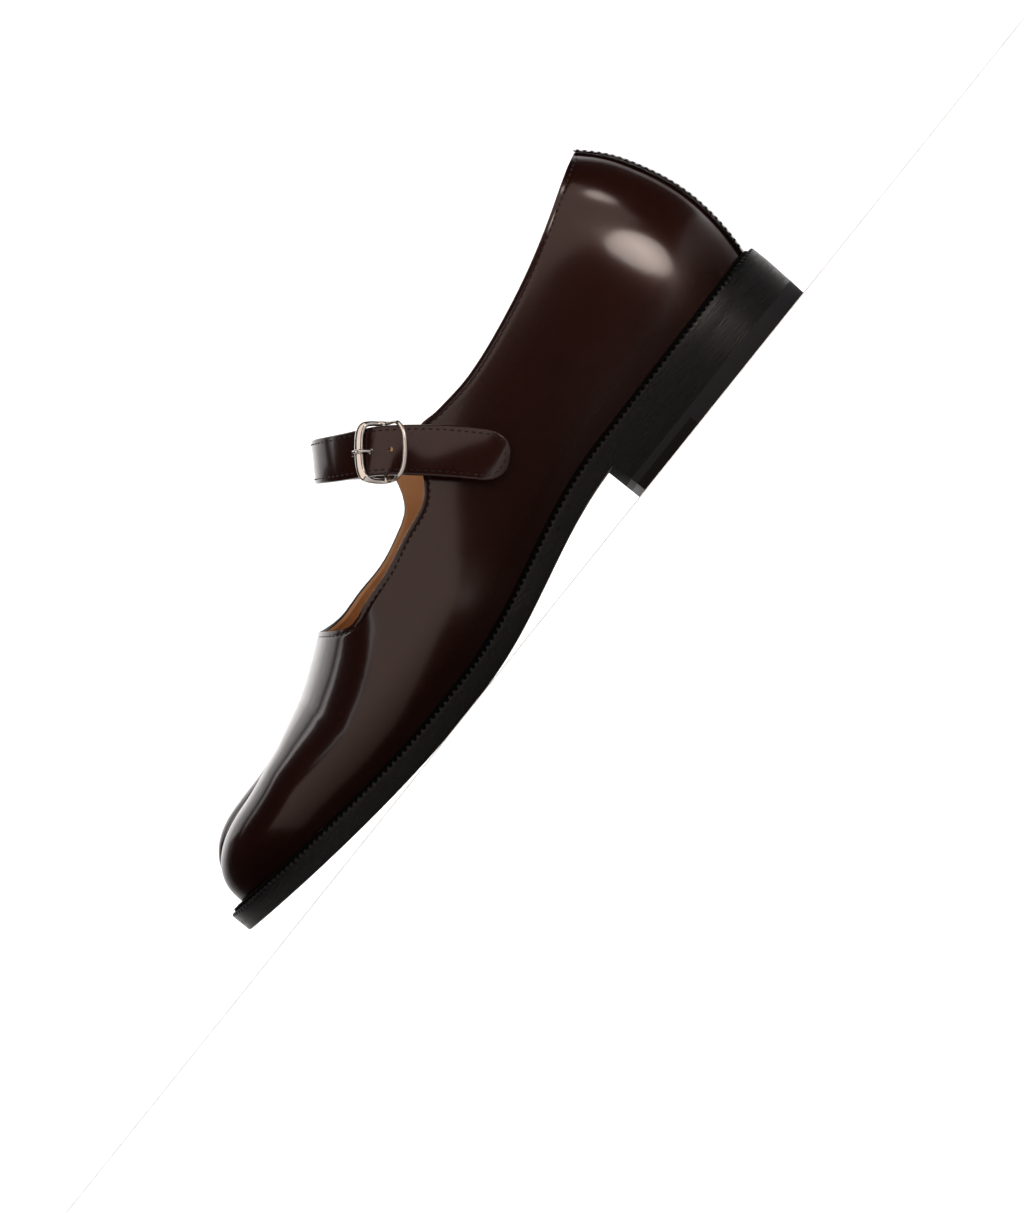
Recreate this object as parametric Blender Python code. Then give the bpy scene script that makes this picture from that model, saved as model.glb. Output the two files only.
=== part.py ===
"""A split-toe mary jane shoe for the left foot: leather upper on a welted sole with a stacked heel, held by one
strap and a frame buckle.

Metres. +X runs to the toe, +Y to the outer side of the foot, +Z up. The origin lies on the floor, in the middle of
the heel's tread.
"""
from collections import namedtuple
from math import cos, pi, sin, sqrt

import bmesh
import bpy
import numpy as np
from mathutils import Vector

LATERAL, MEDIAL = 1, -1
SIDES = (LATERAL, MEDIAL)

# Overall sizes of the last and the sole
LENGTH = 0.293
BALL_WIDTH = 0.103
HEEL_WIDTH = 0.068
INSTEP = 0.048  # last above the feather line, at the front end of the throat
ORIGIN_SHARE = 0.1468  # of the length, from the back of the sole to the origin

# The sole's height over the floor, from heel to toe
BREAST_HEIGHT = 0.0138
SEAT_RISE = 0.0018
TOE_SPRING = 0.0118
BREAST_SHARE = 0.3055
WAIST_BACK, WAIST_FRONT = 0.290, 0.611
SPRING_START = 0.661
SPRING_POWER = 1.55

# Thicknesses and gaps
GAP = 0.0003
OUTSOLE = 0.0053
WELT = 0.0033
WELT_REACH = 0.0039  # how far the welt runs in under the upper
WELT_RAISE = 0.0011
WELT_STEP = 0.0016
EDGE_BEVEL = 0.0006
WALL = 0.0024
INSOLE = 0.0020
INSOLE_GAP = 0.0006  # round the insole's edge, inside the upper
INSOLE_NOTCH = 0.0050  # how far behind the split's root the insole's own notch starts
TOP_LIFT = 0.0060
INSERT = 0.0031
INSERT_SHARE = 0.208
HEEL_TAPER = 0.0010
BACK_STRIP = 0.0010
BACK_STRIP_SHARE = 0.020

# The ledge is the part of the welt that shows past the upper
SIDE_LEDGE = 0.0045
HEEL_LEDGE = 0.0038
TOE_LEDGE = 0.0060
CLEFT_LEDGE = 0.0020

# The split at the toe, and the round ends of the outline
CLEFT_WIDTH = 0.0034
CLEFT_ROOT = 0.860
CLEFT_START = 0.781
HEEL_ROUND, HEEL_SQUARE = 0.174, 2.5
SWELL = 0.0024  # how far the heel's sides stand out past the feather line

# Strap and buckle
STRAP_WIDTH = 0.0176
STRAP = 0.0022
STRAP_TIP = 0.0092  # length of the tip's round end
BUCKLE_SHARE = 0.697  # of the strap's length, from its medial root
BUCKLE_HALF = 0.0066
BAR = 0.0014
FLAT_BAR = 0.0030
RAIL = 0.0021
BAR_HEIGHT = 0.0024
TAB = 0.0009
TAB_WIDTH = 0.0150
TAB_LENGTH = 0.0250
TAB_LIFT = 0.0005  # the tab's straight underside over the lateral quarter's curve
TAB_FOLD = 0.0110
TAB_SLOT = 0.0044
PRONG = 0.0012
STRAP_LIFT = 0.0009  # the strap's straight underside over the medial quarter's curve
HOLE = 0.0024
HOLE_PITCH = 0.0064

# How finely the forms are cut
COLUMNS = 11
HUMP_TURN = 0.9  # of the way round a section, where a lobe's inner wall meets the floor of the split

# The plan: half widths left and right of the last's middle line, as shares of the ball width and the heel width,
# the middle line itself, and the side ledge. "at" is the share of the length.
Plan = namedtuple("Plan", "at lateral medial heel middle ledge")
PLAN = (
    Plan(0.000, 0.000, 0.000, 0.50, 0.000, 0.62),
    Plan(0.174, 0.000, 0.000, 0.50, 0.000, 0.70),
    Plan(0.259, 0.043, 0.038, 0.42, 0.000, 0.78),
    Plan(0.345, 0.132, 0.108, 0.27, 0.000, 0.86),
    Plan(0.413, 0.235, 0.182, 0.13, -0.004, 0.92),
    Plan(0.481, 0.340, 0.267, 0.03, -0.010, 0.97),
    Plan(0.567, 0.447, 0.369, 0.00, -0.020, 1.00),
    Plan(0.652, 0.508, 0.447, 0.00, -0.035, 1.00),
    Plan(0.720, 0.519, 0.481, 0.00, -0.049, 1.00),
    Plan(0.788, 0.515, 0.490, 0.00, -0.060, 1.00),
    Plan(0.891, 0.505, 0.485, 0.00, -0.080, 1.05),
    Plan(1.000, 0.495, 0.476, 0.00, -0.088, 1.10),
)

# The section over each place: the ridge's height above the feather line as a share of the instep, and how full the
# section is across and upwards, where 1 is an ellipse and less is squarer.
Section = namedtuple("Section", "at ridge across upward swell")
SECTION = (
    Section(0.000, 2.254, 1.00, 1.00, 1.0),
    Section(0.174, 2.319, 1.00, 1.00, 1.0),
    Section(0.294, 2.320, 1.00, 1.00, 0.8),
    Section(0.362, 2.262, 1.00, 1.00, 0.5),
    Section(0.413, 2.144, 1.00, 1.00, 0.3),
    Section(0.450, 1.971, 0.99, 1.00, 0.2),
    Section(0.493, 1.781, 0.98, 1.00, 0.1),
    Section(0.529, 1.608, 0.96, 1.00, 0.0),
    Section(0.601, 1.308, 0.91, 0.99, 0.0),
    Section(0.672, 1.006, 0.85, 0.98, 0.0),
    Section(0.710, 0.883, 0.82, 0.97, 0.0),
    Section(0.758, 0.748, 0.79, 0.95, 0.0),
    Section(0.809, 0.656, 0.78, 0.95, 0.0),
    Section(0.857, 0.575, 0.78, 0.95, 0.0),
    Section(1.000, 0.400, 0.78, 0.95, 0.0),
)

# The lobes' own ridges, before their round fronts.
Lobes = namedtuple("Lobes", "at lateral medial")
LOBES = (
    Lobes(0.700, 0.912, 0.912),
    Lobes(0.740, 0.789, 0.798),
    Lobes(0.780, 0.686, 0.722),
    Lobes(0.801, 0.635, 0.690),
    Lobes(0.825, 0.596, 0.650),
    Lobes(0.848, 0.556, 0.615),
    Lobes(0.872, 0.519, 0.590),
    Lobes(0.908, 0.471, 0.550),
    Lobes(1.000, 0.360, 0.440),
)
LOBE_ACROSS, LOBE_UPWARD = 0.77, 0.77
LOBES_START = 0.700  # where the one ridge starts to part in two
RIDGE_TURN = 0.5
RIDGE_PLACE = 0.46  # of the way from the lobe's inner wall to its outer edge

# Each lobe's tip: its place along and across, where its outer and inner edge and its ridge start to round off, and
# how square those curves are.
Tip = namedtuple("Tip", "along across outer_start inner_start ridge_start outer_square ridge_square")
TIPS = {
    LATERAL: Tip(0.9915, 0.090, 0.715, 0.925, 0.884, 1.95, 2.5),
    MEDIAL: Tip(1.0000, -0.225, 0.785, 0.905, 0.897, 1.95, 2.5),
}

# The opening's edge, as a share of the section's height. At the throat both sides meet on the ridge.
THROAT, THROAT_SIDE = 0.672, 0.635
Topline = namedtuple("Topline", "at lateral medial")
TOPLINE = (
    Topline(0.000, 0.624, 0.624),
    Topline(0.031, 0.602, 0.602),
    Topline(0.089, 0.556, 0.556),
    Topline(0.143, 0.513, 0.513),
    Topline(0.217, 0.464, 0.464),
    Topline(0.280, 0.438, 0.438),
    Topline(0.343, 0.441, 0.441),
    Topline(0.372, 0.466, 0.470),
    Topline(0.392, 0.492, 0.495),
    Topline(0.410, 0.522, 0.565),
    Topline(0.434, 0.508, 0.645),
    Topline(0.456, 0.476, 0.665),
    Topline(0.468, 0.464, 0.650),
    Topline(0.478, 0.464, 0.606),
    Topline(0.492, 0.478, 0.572),
    Topline(0.521, 0.524, 0.594),
    Topline(0.567, 0.583, 0.667),
    Topline(0.613, 0.662, 0.780),
    Topline(0.643, 0.742, 0.865),
    Topline(0.672, 1.000, 1.000),
)

# The heel's back, seen from the side: how far it stands forward of the feather line, as a share of the heel width,
# against the height above the feather line as a share of the instep.
Back = namedtuple("Back", "at forward")
BACK = (
    Back(0.00, 0.000),
    Back(0.13, -0.026),
    Back(0.35, -0.054),
    Back(0.53, -0.062),
    Back(0.67, -0.057),
    Back(0.82, -0.041),
    Back(1.00, -0.009),
    Back(1.19, 0.040),
    Back(1.40, 0.131),
    Back(1.60, 0.230),
)
BACK_FADE = 0.30  # of the length, over which the back's curve fades out forwards

# The strap's middle line: how far round the last, from -1 at the medial feather line over 0 on the ridge to 1 at
# the lateral one, the place along, and the strap's width as a share of its widest.
Path = namedtuple("Path", "around at width")
STRAP_PATH = (
    Path(-0.78, 0.403, 1.00),
    Path(-0.60, 0.443, 0.97),
    Path(-0.43, 0.476, 0.90),
    Path(-0.22, 0.502, 0.87),
    Path(0.00, 0.512, 0.87),
    Path(0.22, 0.505, 0.89),
    Path(0.43, 0.481, 0.93),
    Path(0.60, 0.447, 0.97),
    Path(0.75, 0.410, 1.00),
    Path(0.875, 0.374, 0.98),
)


def curve(rows, column):
    """Give the smooth curve through one column of a table, against the table's first column."""
    at = np.array([row[0] for row in rows])
    value = np.array([getattr(row, column) for row in rows])
    step = np.diff(at)
    slope = np.diff(value) / step
    matrix = np.eye(len(at))
    right = np.zeros(len(at))
    for i in range(1, len(at) - 1):
        matrix[i, i - 1:i + 2] = step[i - 1], 2 * (step[i - 1] + step[i]), step[i]
        right[i] = 6 * (slope[i] - slope[i - 1])
    bend = np.linalg.solve(matrix, right)

    def read(x):
        i = min(max(int(np.searchsorted(at, x)) - 1, 0), len(at) - 2)
        x = min(max(x, at[0]), at[-1]) - at[i]
        first = slope[i] - step[i] * (2 * bend[i] + bend[i + 1]) / 6
        return float(value[i] + x * (first + x * (bend[i] / 2 + x * (bend[i + 1] - bend[i]) / (6 * step[i]))))

    return read


def round_off(share, square):
    """Fall from 1 at share 0 to 0 at share 1, along a quarter of a rounded square."""
    share = min(max(share, 0.0), 1.0)
    return (1 - share ** square) ** (1 / square)


def ease(share):
    """Rise from 0 to 1 with level ends."""
    share = min(max(share, 0.0), 1.0)
    return share * share * share * (10 - share * (15 - 6 * share))


WIDTH = {LATERAL: curve(PLAN, "lateral"), MEDIAL: curve(PLAN, "medial")}
HEEL, MIDDLE, LEDGE = (curve(PLAN, name) for name in ("heel", "middle", "ledge"))
RIDGE, ACROSS, UPWARD, SWELLING = (curve(SECTION, name) for name in ("ridge", "across", "upward", "swell"))
LOBE = {LATERAL: curve(LOBES, "lateral"), MEDIAL: curve(LOBES, "medial")}
CUT = {LATERAL: curve(TOPLINE, "lateral"), MEDIAL: curve(TOPLINE, "medial")}
BACK_FORWARD = curve(BACK, "forward")
STRAP_ALONG, STRAP_WIDE = curve(STRAP_PATH, "at"), curve(STRAP_PATH, "width")


# Lines in plan. Every function takes the share of the length, a number of ledges and a depth in from there, so that
# one outline serves the sole, the welt and both faces of the upper.
def rear(ledges=0.0, depth=0.0):
    return (ledges * HEEL_LEDGE + depth) / LENGTH


def front(side, ledges=0.0, depth=0.0):
    return TIPS[side].along - (ledges * TOE_LEDGE + depth) / LENGTH


def cleft_half(ledges=0.0, depth=0.0):
    return CLEFT_WIDTH / 2 + ledges * CLEFT_LEDGE + depth


def root(ledges=0.0, depth=0.0):
    return CLEFT_ROOT - (ledges * CLEFT_LEDGE + depth) / LENGTH


def outer_edge(side, at, ledges=0.0, depth=0.0):
    """The outline's outer edge, across the shoe."""
    half = WIDTH[side](at) * BALL_WIDTH + HEEL(at) * HEEL_WIDTH - ledges * LEDGE(at) * SIDE_LEDGE - depth
    back = rear(ledges, depth)
    half *= round_off((HEEL_ROUND - at) / (HEEL_ROUND - back), HEEL_SQUARE)
    tip = TIPS[side]
    tip_across = tip.across * BALL_WIDTH
    closing = round_off((at - tip.outer_start) / (front(side, ledges, depth) - tip.outer_start), tip.outer_square)
    return tip_across + (side * half - tip_across) * closing


def inner_edge(side, at, ledges=0.0, depth=0.0):
    """The wall of the split, in front of its root, and the middle line behind it."""
    middle = MIDDLE(at) * BALL_WIDTH
    if at <= root(ledges, depth):
        return middle
    tip = TIPS[side]
    tip_across = tip.across * BALL_WIDTH
    wall = middle + side * cleft_half(ledges, depth)
    closing = round_off((at - tip.inner_start) / (front(side, ledges, depth) - tip.inner_start), 2.0)
    return tip_across + (wall - tip_across) * closing


# Heights over the floor.
def sole_bottom(at):
    """Heel seat, arch, flat ball and toe spring of the outsole's underside."""
    if at < WAIST_BACK:
        return BREAST_HEIGHT + SEAT_RISE * (WAIST_BACK - at) / WAIST_BACK
    if at < WAIST_FRONT:
        return BREAST_HEIGHT * (1 + cos(pi * (at - WAIST_BACK) / (WAIST_FRONT - WAIST_BACK))) / 2
    if at < SPRING_START:
        return 0.0
    return TOE_SPRING * ((at - SPRING_START) / (1 - SPRING_START)) ** SPRING_POWER


def welt_bottom(at):
    return sole_bottom(at) + OUTSOLE + GAP


def feather(at):
    """The upper's lower edge, on the welt."""
    return welt_bottom(at) + WELT + GAP


def place(at, across, height):
    return Vector(((at - ORIGIN_SHARE) * LENGTH, across, height))


def power(value, exponent):
    """Raise the size of a number and keep its sign."""
    return abs(value) ** exponent * (1 if value >= 0 else -1)


def last(side, at, turn, ledges=1.0, depth=0.0):
    """The last's surface: turn runs from 0 at the feather line to 1 on the ridge. Towards the split the ridge parts in
    two, each half's own ridge at RIDGE_TURN, and the surface between them sinks to the split's floor."""
    outer = outer_edge(side, at, ledges, depth)
    ridge = wall = middle = MIDDLE(at) * BALL_WIDTH
    split_at, split_start = root(ledges, depth), CLEFT_START - depth / LENGTH
    apart = ease((at - LOBES_START) / (split_at - LOBES_START))
    sunk = ease((at - split_start) / (split_at - split_start))
    high = INSTEP * RIDGE(at) - depth
    floor = high * (1 - sunk)
    ridge_turn = foot_turn = 1.0
    if apart > 0:
        tip = TIPS[side]
        closing = round_off(
            (at - tip.ridge_start) / (front(side, ledges, depth) - tip.ridge_start), tip.ridge_square)
        high += apart * ((INSTEP * LOBE[side](at) - depth) * closing - high)
        closed = at < split_at + 1e-6
        wall = middle + side * cleft_half(ledges, depth) if closed else inner_edge(side, at, ledges, depth)
        ridge += apart * (wall + RIDGE_PLACE * (outer - wall) - middle)
        if closed:
            wall = middle + side * min(abs(wall - middle), 0.6 * abs(ridge - middle))
        # The turns of the ridge and of the split's foot, and the turn that was asked for, slid along to meet them.
        ridge_turn = 1 - (1 - RIDGE_TURN) * apart
        foot_turn = 1 - (1 - HUMP_TURN) * apart
        slid = float(np.interp(turn, (0.0, RIDGE_TURN, HUMP_TURN, 1.0), (0.0, ridge_turn, foot_turn, 1.0)))
        turn += ease(4 * apart) * (slid - turn)
    if turn <= ridge_turn:
        angle = turn / ridge_turn * pi / 2
        swelling = side * SWELL * SWELLING(at) * sin(2 * angle) * min(1.0, 3 * abs(outer - ridge) / HEEL_WIDTH)
        across = ridge + (outer - ridge) * power(cos(angle), ACROSS(at)) + swelling
        rise = high * sin(angle) ** UPWARD(at)
    else:
        share = min((turn - ridge_turn) / (foot_turn - ridge_turn), 1.0)
        way = sin(share * pi / 2) ** LOBE_ACROSS
        soft = (1 + cos(pi * way)) / 2
        fall = soft + sunk * (max(cos(share * pi / 2), 0.0) ** LOBE_UPWARD - soft)
        across = ridge + (wall - ridge) * way
        if turn > foot_turn and at < split_at + 1e-6:
            across += (middle - wall) * (turn - foot_turn) / (1 - foot_turn)
        rise = floor + (high - floor) * fall
    forward = BACK_FORWARD(rise / INSTEP) * HEEL_WIDTH / LENGTH * (1 - ease(at / BACK_FADE))
    return place(at + forward, across, feather(at) + rise)


def cut_turn(side, at):
    """How far round the section the opening's edge lies."""
    if at >= THROAT:
        return 1.0
    return float(np.arcsin(min(CUT[side](at), 1.0) ** (1 / UPWARD(at)))) / (pi / 2)


# Stations along the shoe: spans between named places, each with its own number of steps and crowding.
def span(start, end, steps, crowd_start=False, crowd_end=False):
    """Shares from start to just before end, crowded where a curve closes."""
    shares = []
    for i in range(steps):
        t = i / steps
        if crowd_start and crowd_end:
            t = (1 - cos(pi * t)) / 2
        elif crowd_start:
            t = 1 - cos(pi * t / 2)
        elif crowd_end:
            t = sin(pi * t / 2)
        shares.append(start + (end - start) * t)
    return shares


def stations(side, ledges=0.0, depth=0.0, steps=(9, 5, 12, 4, 6, 5, 7, 11), places=(THROAT_SIDE, THROAT)):
    """Every station of one half, and the numbers of those at the throat and the root of the split."""
    back, heel, waist, sides, throat, vamp, split, lobe = steps
    first, second = places
    shares = span(rear(ledges, depth), HEEL_ROUND, back, crowd_start=True)
    shares += span(HEEL_ROUND, 0.37, heel)
    shares += span(0.37, 0.50, waist)
    shares += span(0.50, first, sides)
    shares += span(first, second, throat, crowd_end=True)
    at_throat = len(shares)
    split_start = CLEFT_START - depth / LENGTH
    shares += span(second, split_start, vamp)
    shares += span(split_start, root(ledges, depth), split)
    at_root = len(shares)
    shares.append(root(ledges, depth))
    shares += span(root(ledges, depth) + 0.002, front(side, ledges, depth), lobe, crowd_end=True)
    shares.append(front(side, ledges, depth))
    return shares, at_throat, at_root


def sole_stations(side, ledges=0.0, depth=0.0):
    """The same for the sole, whose flat ball starts and ends at a station."""
    return stations(side, ledges, depth, (9, 5, 6, 5, 2, 4, 3, 9), (WAIST_FRONT, SPRING_START))


# Mesh making.
def lay(bm, rows):
    """Lay faces over a grid of corners, and return the corners."""
    corners = [[bm.verts.new(point) for point in row] for row in rows]
    for row, beyond in zip(corners, corners[1:]):
        join(bm, row, beyond)
    return corners


def join(bm, first, second):
    """Lay one strip of faces between two runs of corners."""
    for a, b, c, d in zip(first, first[1:], second[1:], second):
        bm.faces.new((a, b, c, d))


def finish(name, bm, material, smooth=40):
    """Close the mesh, turn its faces out and make the object."""
    bmesh.ops.remove_doubles(bm, verts=bm.verts, dist=1e-6)
    bmesh.ops.recalc_face_normals(bm, faces=bm.faces)
    mesh = bpy.data.meshes.new(name)
    bm.to_mesh(mesh)
    bm.free()
    mesh.shade_smooth()
    mesh.set_sharp_from_angle(angle=smooth * pi / 180)
    made = bpy.data.objects.new(name, mesh)
    bpy.context.scene.collection.objects.link(made)
    mesh.materials.append(material)
    return made


def box(centre, size):
    bm = bmesh.new()
    bmesh.ops.create_cube(bm, size=1.0)
    bmesh.ops.scale(bm, vec=size, verts=bm.verts)
    bmesh.ops.translate(bm, vec=centre, verts=bm.verts)
    return bm


def cutter(name, bm):
    """A shape that only cuts or joins another one."""
    made = finish(name, bm, bpy.data.materials["Hidden"])
    made.hide_render = True
    made.display_type = "WIRE"
    return made


def combine(target, tool, operation):
    """Cut a shape out of a piece, or join it on."""
    modifier = target.modifiers.new(tool.name, "BOOLEAN")
    modifier.operation = operation
    modifier.object = tool
    modifier.solver = "EXACT"


def material(name, colour, roughness, metallic=0.0):
    made = bpy.data.materials.new(name)
    made.use_nodes = True
    shader = made.node_tree.nodes["Principled BSDF"]
    shader.inputs["Base Color"].default_value = (*colour, 1.0)
    shader.inputs["Roughness"].default_value = roughness
    shader.inputs["Metallic"].default_value = metallic
    return made


def slab(bm, layers, end=None):
    """Stack outlines into a closed solid. A layer is its ledges, its depth and its height over the length. With an
    end, the solid stops there in a straight face, as a heel does at its breast."""
    for side in SIDES:
        outer, inner = [], []
        for ledges, depth, height in layers:
            if end is None:
                shares, _, at_root = sole_stations(side, ledges, depth)
            else:
                shares = span(rear(ledges, depth), HEEL_ROUND, 9, crowd_start=True)
                shares += span(HEEL_ROUND, end, 4) + [end]
            outer.append([place(at, outer_edge(side, at, ledges, depth), height(at)) for at in shares])
            inner.append([place(at, inner_edge(side, at, ledges, depth), height(at)) for at in shares])
        outer_corners = lay(bm, outer)
        inner_corners = [[bm.verts.new(point) for point in row] for row in inner]
        for level in (0, -1):
            join(bm, outer_corners[level], inner_corners[level])
        if end is None:
            for row, above in zip(inner_corners, inner_corners[1:]):
                join(bm, row[at_root:], above[at_root:])
        else:
            join(bm, [row[-1] for row in outer_corners], [row[-1] for row in inner_corners])


def outsole(material):
    bm = bmesh.new()

    def top(at):
        return sole_bottom(at) + OUTSOLE

    slab(bm, (
        (0, EDGE_BEVEL, sole_bottom),
        (0, 0, lambda at: sole_bottom(at) + EDGE_BEVEL),
        (0, 0, lambda at: top(at) - EDGE_BEVEL),
        (0, EDGE_BEVEL, top),
    ))
    return finish("outsole", bm, material)


def heel_layers(low, high, low_depth, high_depth):
    return ((0, low_depth, low), (0, high_depth, high))


def heel_depth(height):
    """The heel's sides lean in towards the floor."""
    return HEEL_TAPER * (1 - height / BREAST_HEIGHT)


def heel_stack(material):
    bm = bmesh.new()
    low = TOP_LIFT + GAP
    slab(bm, heel_layers(lambda at: low, lambda at: sole_bottom(at) - GAP, heel_depth(low), 0), end=BREAST_SHARE)
    return finish("heel_stack", bm, material)


def top_lift(material):
    bm = bmesh.new()
    slab(bm, heel_layers(lambda at: 0.0, lambda at: TOP_LIFT, HEEL_TAPER, heel_depth(TOP_LIFT)), end=BREAST_SHARE)
    lift = finish("top_lift", bm, material)
    # The step at the front takes the insert and the gap round it.
    size = Vector((LENGTH, 2 * HEEL_WIDTH, 2 * (INSERT + GAP)))
    combine(lift, cutter("insert_step", box(place(INSERT_SHARE + 0.5, 0, 0), size)), "DIFFERENCE")
    return lift


def top_lift_insert(material):
    bm = bmesh.new()
    back = INSERT_SHARE + GAP / LENGTH
    for side in SIDES:
        rows = []
        for depth, height in ((HEEL_TAPER, 0.0), (heel_depth(INSERT), INSERT)):
            shares = span(back, BREAST_SHARE, 4) + [BREAST_SHARE]
            rows.append([[place(at, y, height) for at in shares for y in [edge(side, at, 0, depth)]]
                         for edge in (outer_edge, inner_edge)])
        low, high = ([[bm.verts.new(point) for point in line] for line in row] for row in rows)
        join(bm, *low)
        join(bm, *high)
        join(bm, low[0], high[0])
        for end in (0, -1):
            bm.faces.new((low[0][end], low[1][end], high[1][end], high[0][end]))
    return finish("top_lift_insert", bm, material)


def welt(material):
    """A ring of one section, swept round the outline and through the split."""
    bm = bmesh.new()
    flat = WELT - WELT_RAISE

    def raised(share):
        return lambda at: welt_bottom(at) + flat + WELT_RAISE * share

    section = (
        (0, 0, welt_bottom),
        (0, 0, lambda at: welt_bottom(at) + flat - EDGE_BEVEL),
        (0, EDGE_BEVEL, raised(0)),
        (0, WELT_STEP, raised(0)),
        (0, WELT_STEP + EDGE_BEVEL, raised(1)),
        (1, WALL + WELT_REACH - CLEFT_LEDGE, raised(1)),
        (1, WALL + WELT_REACH - CLEFT_LEDGE, welt_bottom),
    )
    for side in SIDES:
        outer, inner = [], []
        for ledges, depth, height in section:
            shares, _, at_root = sole_stations(side, ledges, depth)
            outer.append([place(at, outer_edge(side, at, ledges, depth), height(at)) for at in shares])
            inner.append([place(at, inner_edge(side, at, ledges, depth), height(at)) for at in shares[at_root:]])
        lay(bm, outer + outer[:1])
        lay(bm, inner + inner[:1])
    return finish("welt", bm, material)


def insole(material):
    """Fills the ring of the welt and lies over its inner flange, inside the upper."""
    bm = bmesh.new()
    inside = WALL + WELT_REACH - CLEFT_LEDGE + GAP
    flange = WALL + INSOLE_GAP
    slab(bm, (
        (1, inside, lambda at: sole_bottom(at) + OUTSOLE + GAP),
        (1, inside, feather),
        (1, flange, feather),
        (1, flange, lambda at: feather(at) + INSOLE),
    ))
    made = finish("insole", bm, material)
    # The split's soft floor comes down just behind its root, so the insole is notched further back.
    ends = root(1, WALL) - INSOLE_NOTCH / LENGTH, root(1, 0)
    centre = place(sum(ends) / 2, MIDDLE(ends[0]) * BALL_WIDTH, feather(ends[0]))
    size = Vector(((ends[1] - ends[0]) * LENGTH, 2 * cleft_half(1, WALL) + INSOLE, 4 * (OUTSOLE + INSOLE)))
    combine(made, cutter("insole_notch", box(centre, size)), "DIFFERENCE")
    return made


def skin(bm, side, depth, until=None):
    """One face of the upper, from the feather line to the opening, the ridge or the split."""
    shares, at_throat, at_root = stations(side, 1, depth)
    shares = shares[:until]
    turns = [HUMP_TURN * k / (COLUMNS - 1) for k in range(COLUMNS)] + [1.0]
    rows = [[last(side, at, turn * cut_turn(side, at), 1, depth) for turn in turns] for at in shares]
    return lay(bm, rows), at_throat, at_root


def upper(material):
    bm = bmesh.new()
    for side in SIDES:
        outside, at_throat, at_root = skin(bm, side, 0)
        inside, _, _ = skin(bm, side, WALL)
        join(bm, [row[0] for row in outside], [row[0] for row in inside])
        for start, stop in ((0, at_throat + 1), (at_root, None)):
            join(bm, [row[-1] for row in outside[start:stop]], [row[-1] for row in inside[start:stop]])
    return finish("upper", bm, material)


def back_strip(material):
    """Lies over the back seam, from the welt to the collar, on the upper's own surface."""
    bm = bmesh.new()
    until = next(i for i, at in enumerate(stations(LATERAL, 1, 0)[0]) if at > BACK_STRIP_SHARE)
    for side in SIDES:
        outside, _, _ = skin(bm, side, -GAP - BACK_STRIP, until)
        inside, _, _ = skin(bm, side, -GAP, until)
        for end in (0, -1):
            join(bm, [row[end] for row in outside], [row[end] for row in inside])
        join(bm, outside[-1], inside[-1])
    return finish("back_strip", bm, material)


class StrapLine:
    """The strap's middle line on the last, measured along its length, with its own directions."""

    def __init__(self):
        around = np.linspace(STRAP_PATH[0].around, STRAP_PATH[-1].around, 161)
        self.points = np.array([self.on_last(a, STRAP_ALONG(a)) for a in around])
        self.around = around
        steps = np.linalg.norm(np.diff(self.points, axis=0), axis=1)
        self.measured = np.concatenate(([0.0], np.cumsum(steps)))
        self.length = float(self.measured[-1])
        self.buckle = BUCKLE_SHARE * self.length

    @staticmethod
    def on_last(around, at):
        return last(LATERAL if around >= 0 else MEDIAL, at, 1 - abs(around))

    def lift(self, s):
        """How far the strap's underside stands off the last: over the tab, and over the buckle's middle bar."""
        double = TAB_LIFT + 2 * GAP + 2 * TAB
        over_tab = STRAP_LIFT + (double - STRAP_LIFT) * ease((s - self.buckle + TAB_LENGTH) / TAB_LENGTH)
        hump = BAR_HEIGHT + BAR / 2 + TAB + 2 * GAP - double
        return over_tab + hump * float(np.exp(-((s - self.buckle) / 0.008) ** 2))

    def width(self, s):
        return STRAP_WIDTH * STRAP_WIDE(float(np.interp(s, self.measured, self.around)))

    def point(self, s, across=0.0, height=0.0):
        """A point by its length along, its place across, and its height over the last."""
        s = min(max(s, 0.0), self.length)
        reach = 0.002
        here, before, after = (
            Vector([np.interp(t, self.measured, self.points[:, axis]) for axis in range(3)])
            for t in (s, max(s - reach, 0.0), min(s + reach, self.length)))
        along = (after - before).normalized()
        around = float(np.interp(s, self.measured, self.around))
        at = STRAP_ALONG(around)
        forward = self.on_last(around, at + 0.01) - self.on_last(around, at - 0.01)
        out = forward.cross(along).normalized()
        return here + along.cross(out) * across + out * height


def ribbon(bm, line, spots, width, thickness, rounded=None):
    """A strip with flat faces and square edges. A spot is the length along and the height of its lower face."""
    rows = []
    for i, (s, low, high) in enumerate(spots):
        half = width / 2 if rounded is None else rounded(s)
        rows.append([line.point(s, y, h) for y, h in ((-half, low), (half, low), (half, high), (-half, high))])
    corners = lay(bm, [row + row[:1] for row in rows])
    for end in (0, -1):
        bm.faces.new(corners[end][:-1])


def strap(line, material):
    bm = bmesh.new()

    def half_width(s):
        share = 1 - min((line.length - s) / STRAP_TIP, 1.0)
        return line.width(s) / 2 * max(round_off(share, 2.3), 0.12)

    steps = 46
    lengths = [line.length * i / steps for i in range(steps)]
    lengths += [line.length - STRAP_TIP * share for share in (0.8, 0.55, 0.35, 0.18, 0.06, 0.0)]
    lengths.sort()
    spots = [(s, line.lift(s), line.lift(s) + STRAP) for s in lengths]
    ribbon(bm, line, spots, STRAP_WIDTH, STRAP, half_width)
    made = finish("strap", bm, material)
    for i in (-1, 0, 1):
        s = prong_hole(line) + i * HOLE_PITCH
        bm = bmesh.new()
        tube(bm, [line.point(s, 0, line.lift(s) + h) for h in (-0.003, STRAP + 0.003)], HOLE / 2, HOLE / 2, 10)
        combine(made, cutter("strap_hole_%d" % (i + 2), bm), "DIFFERENCE")
    return made


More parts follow.
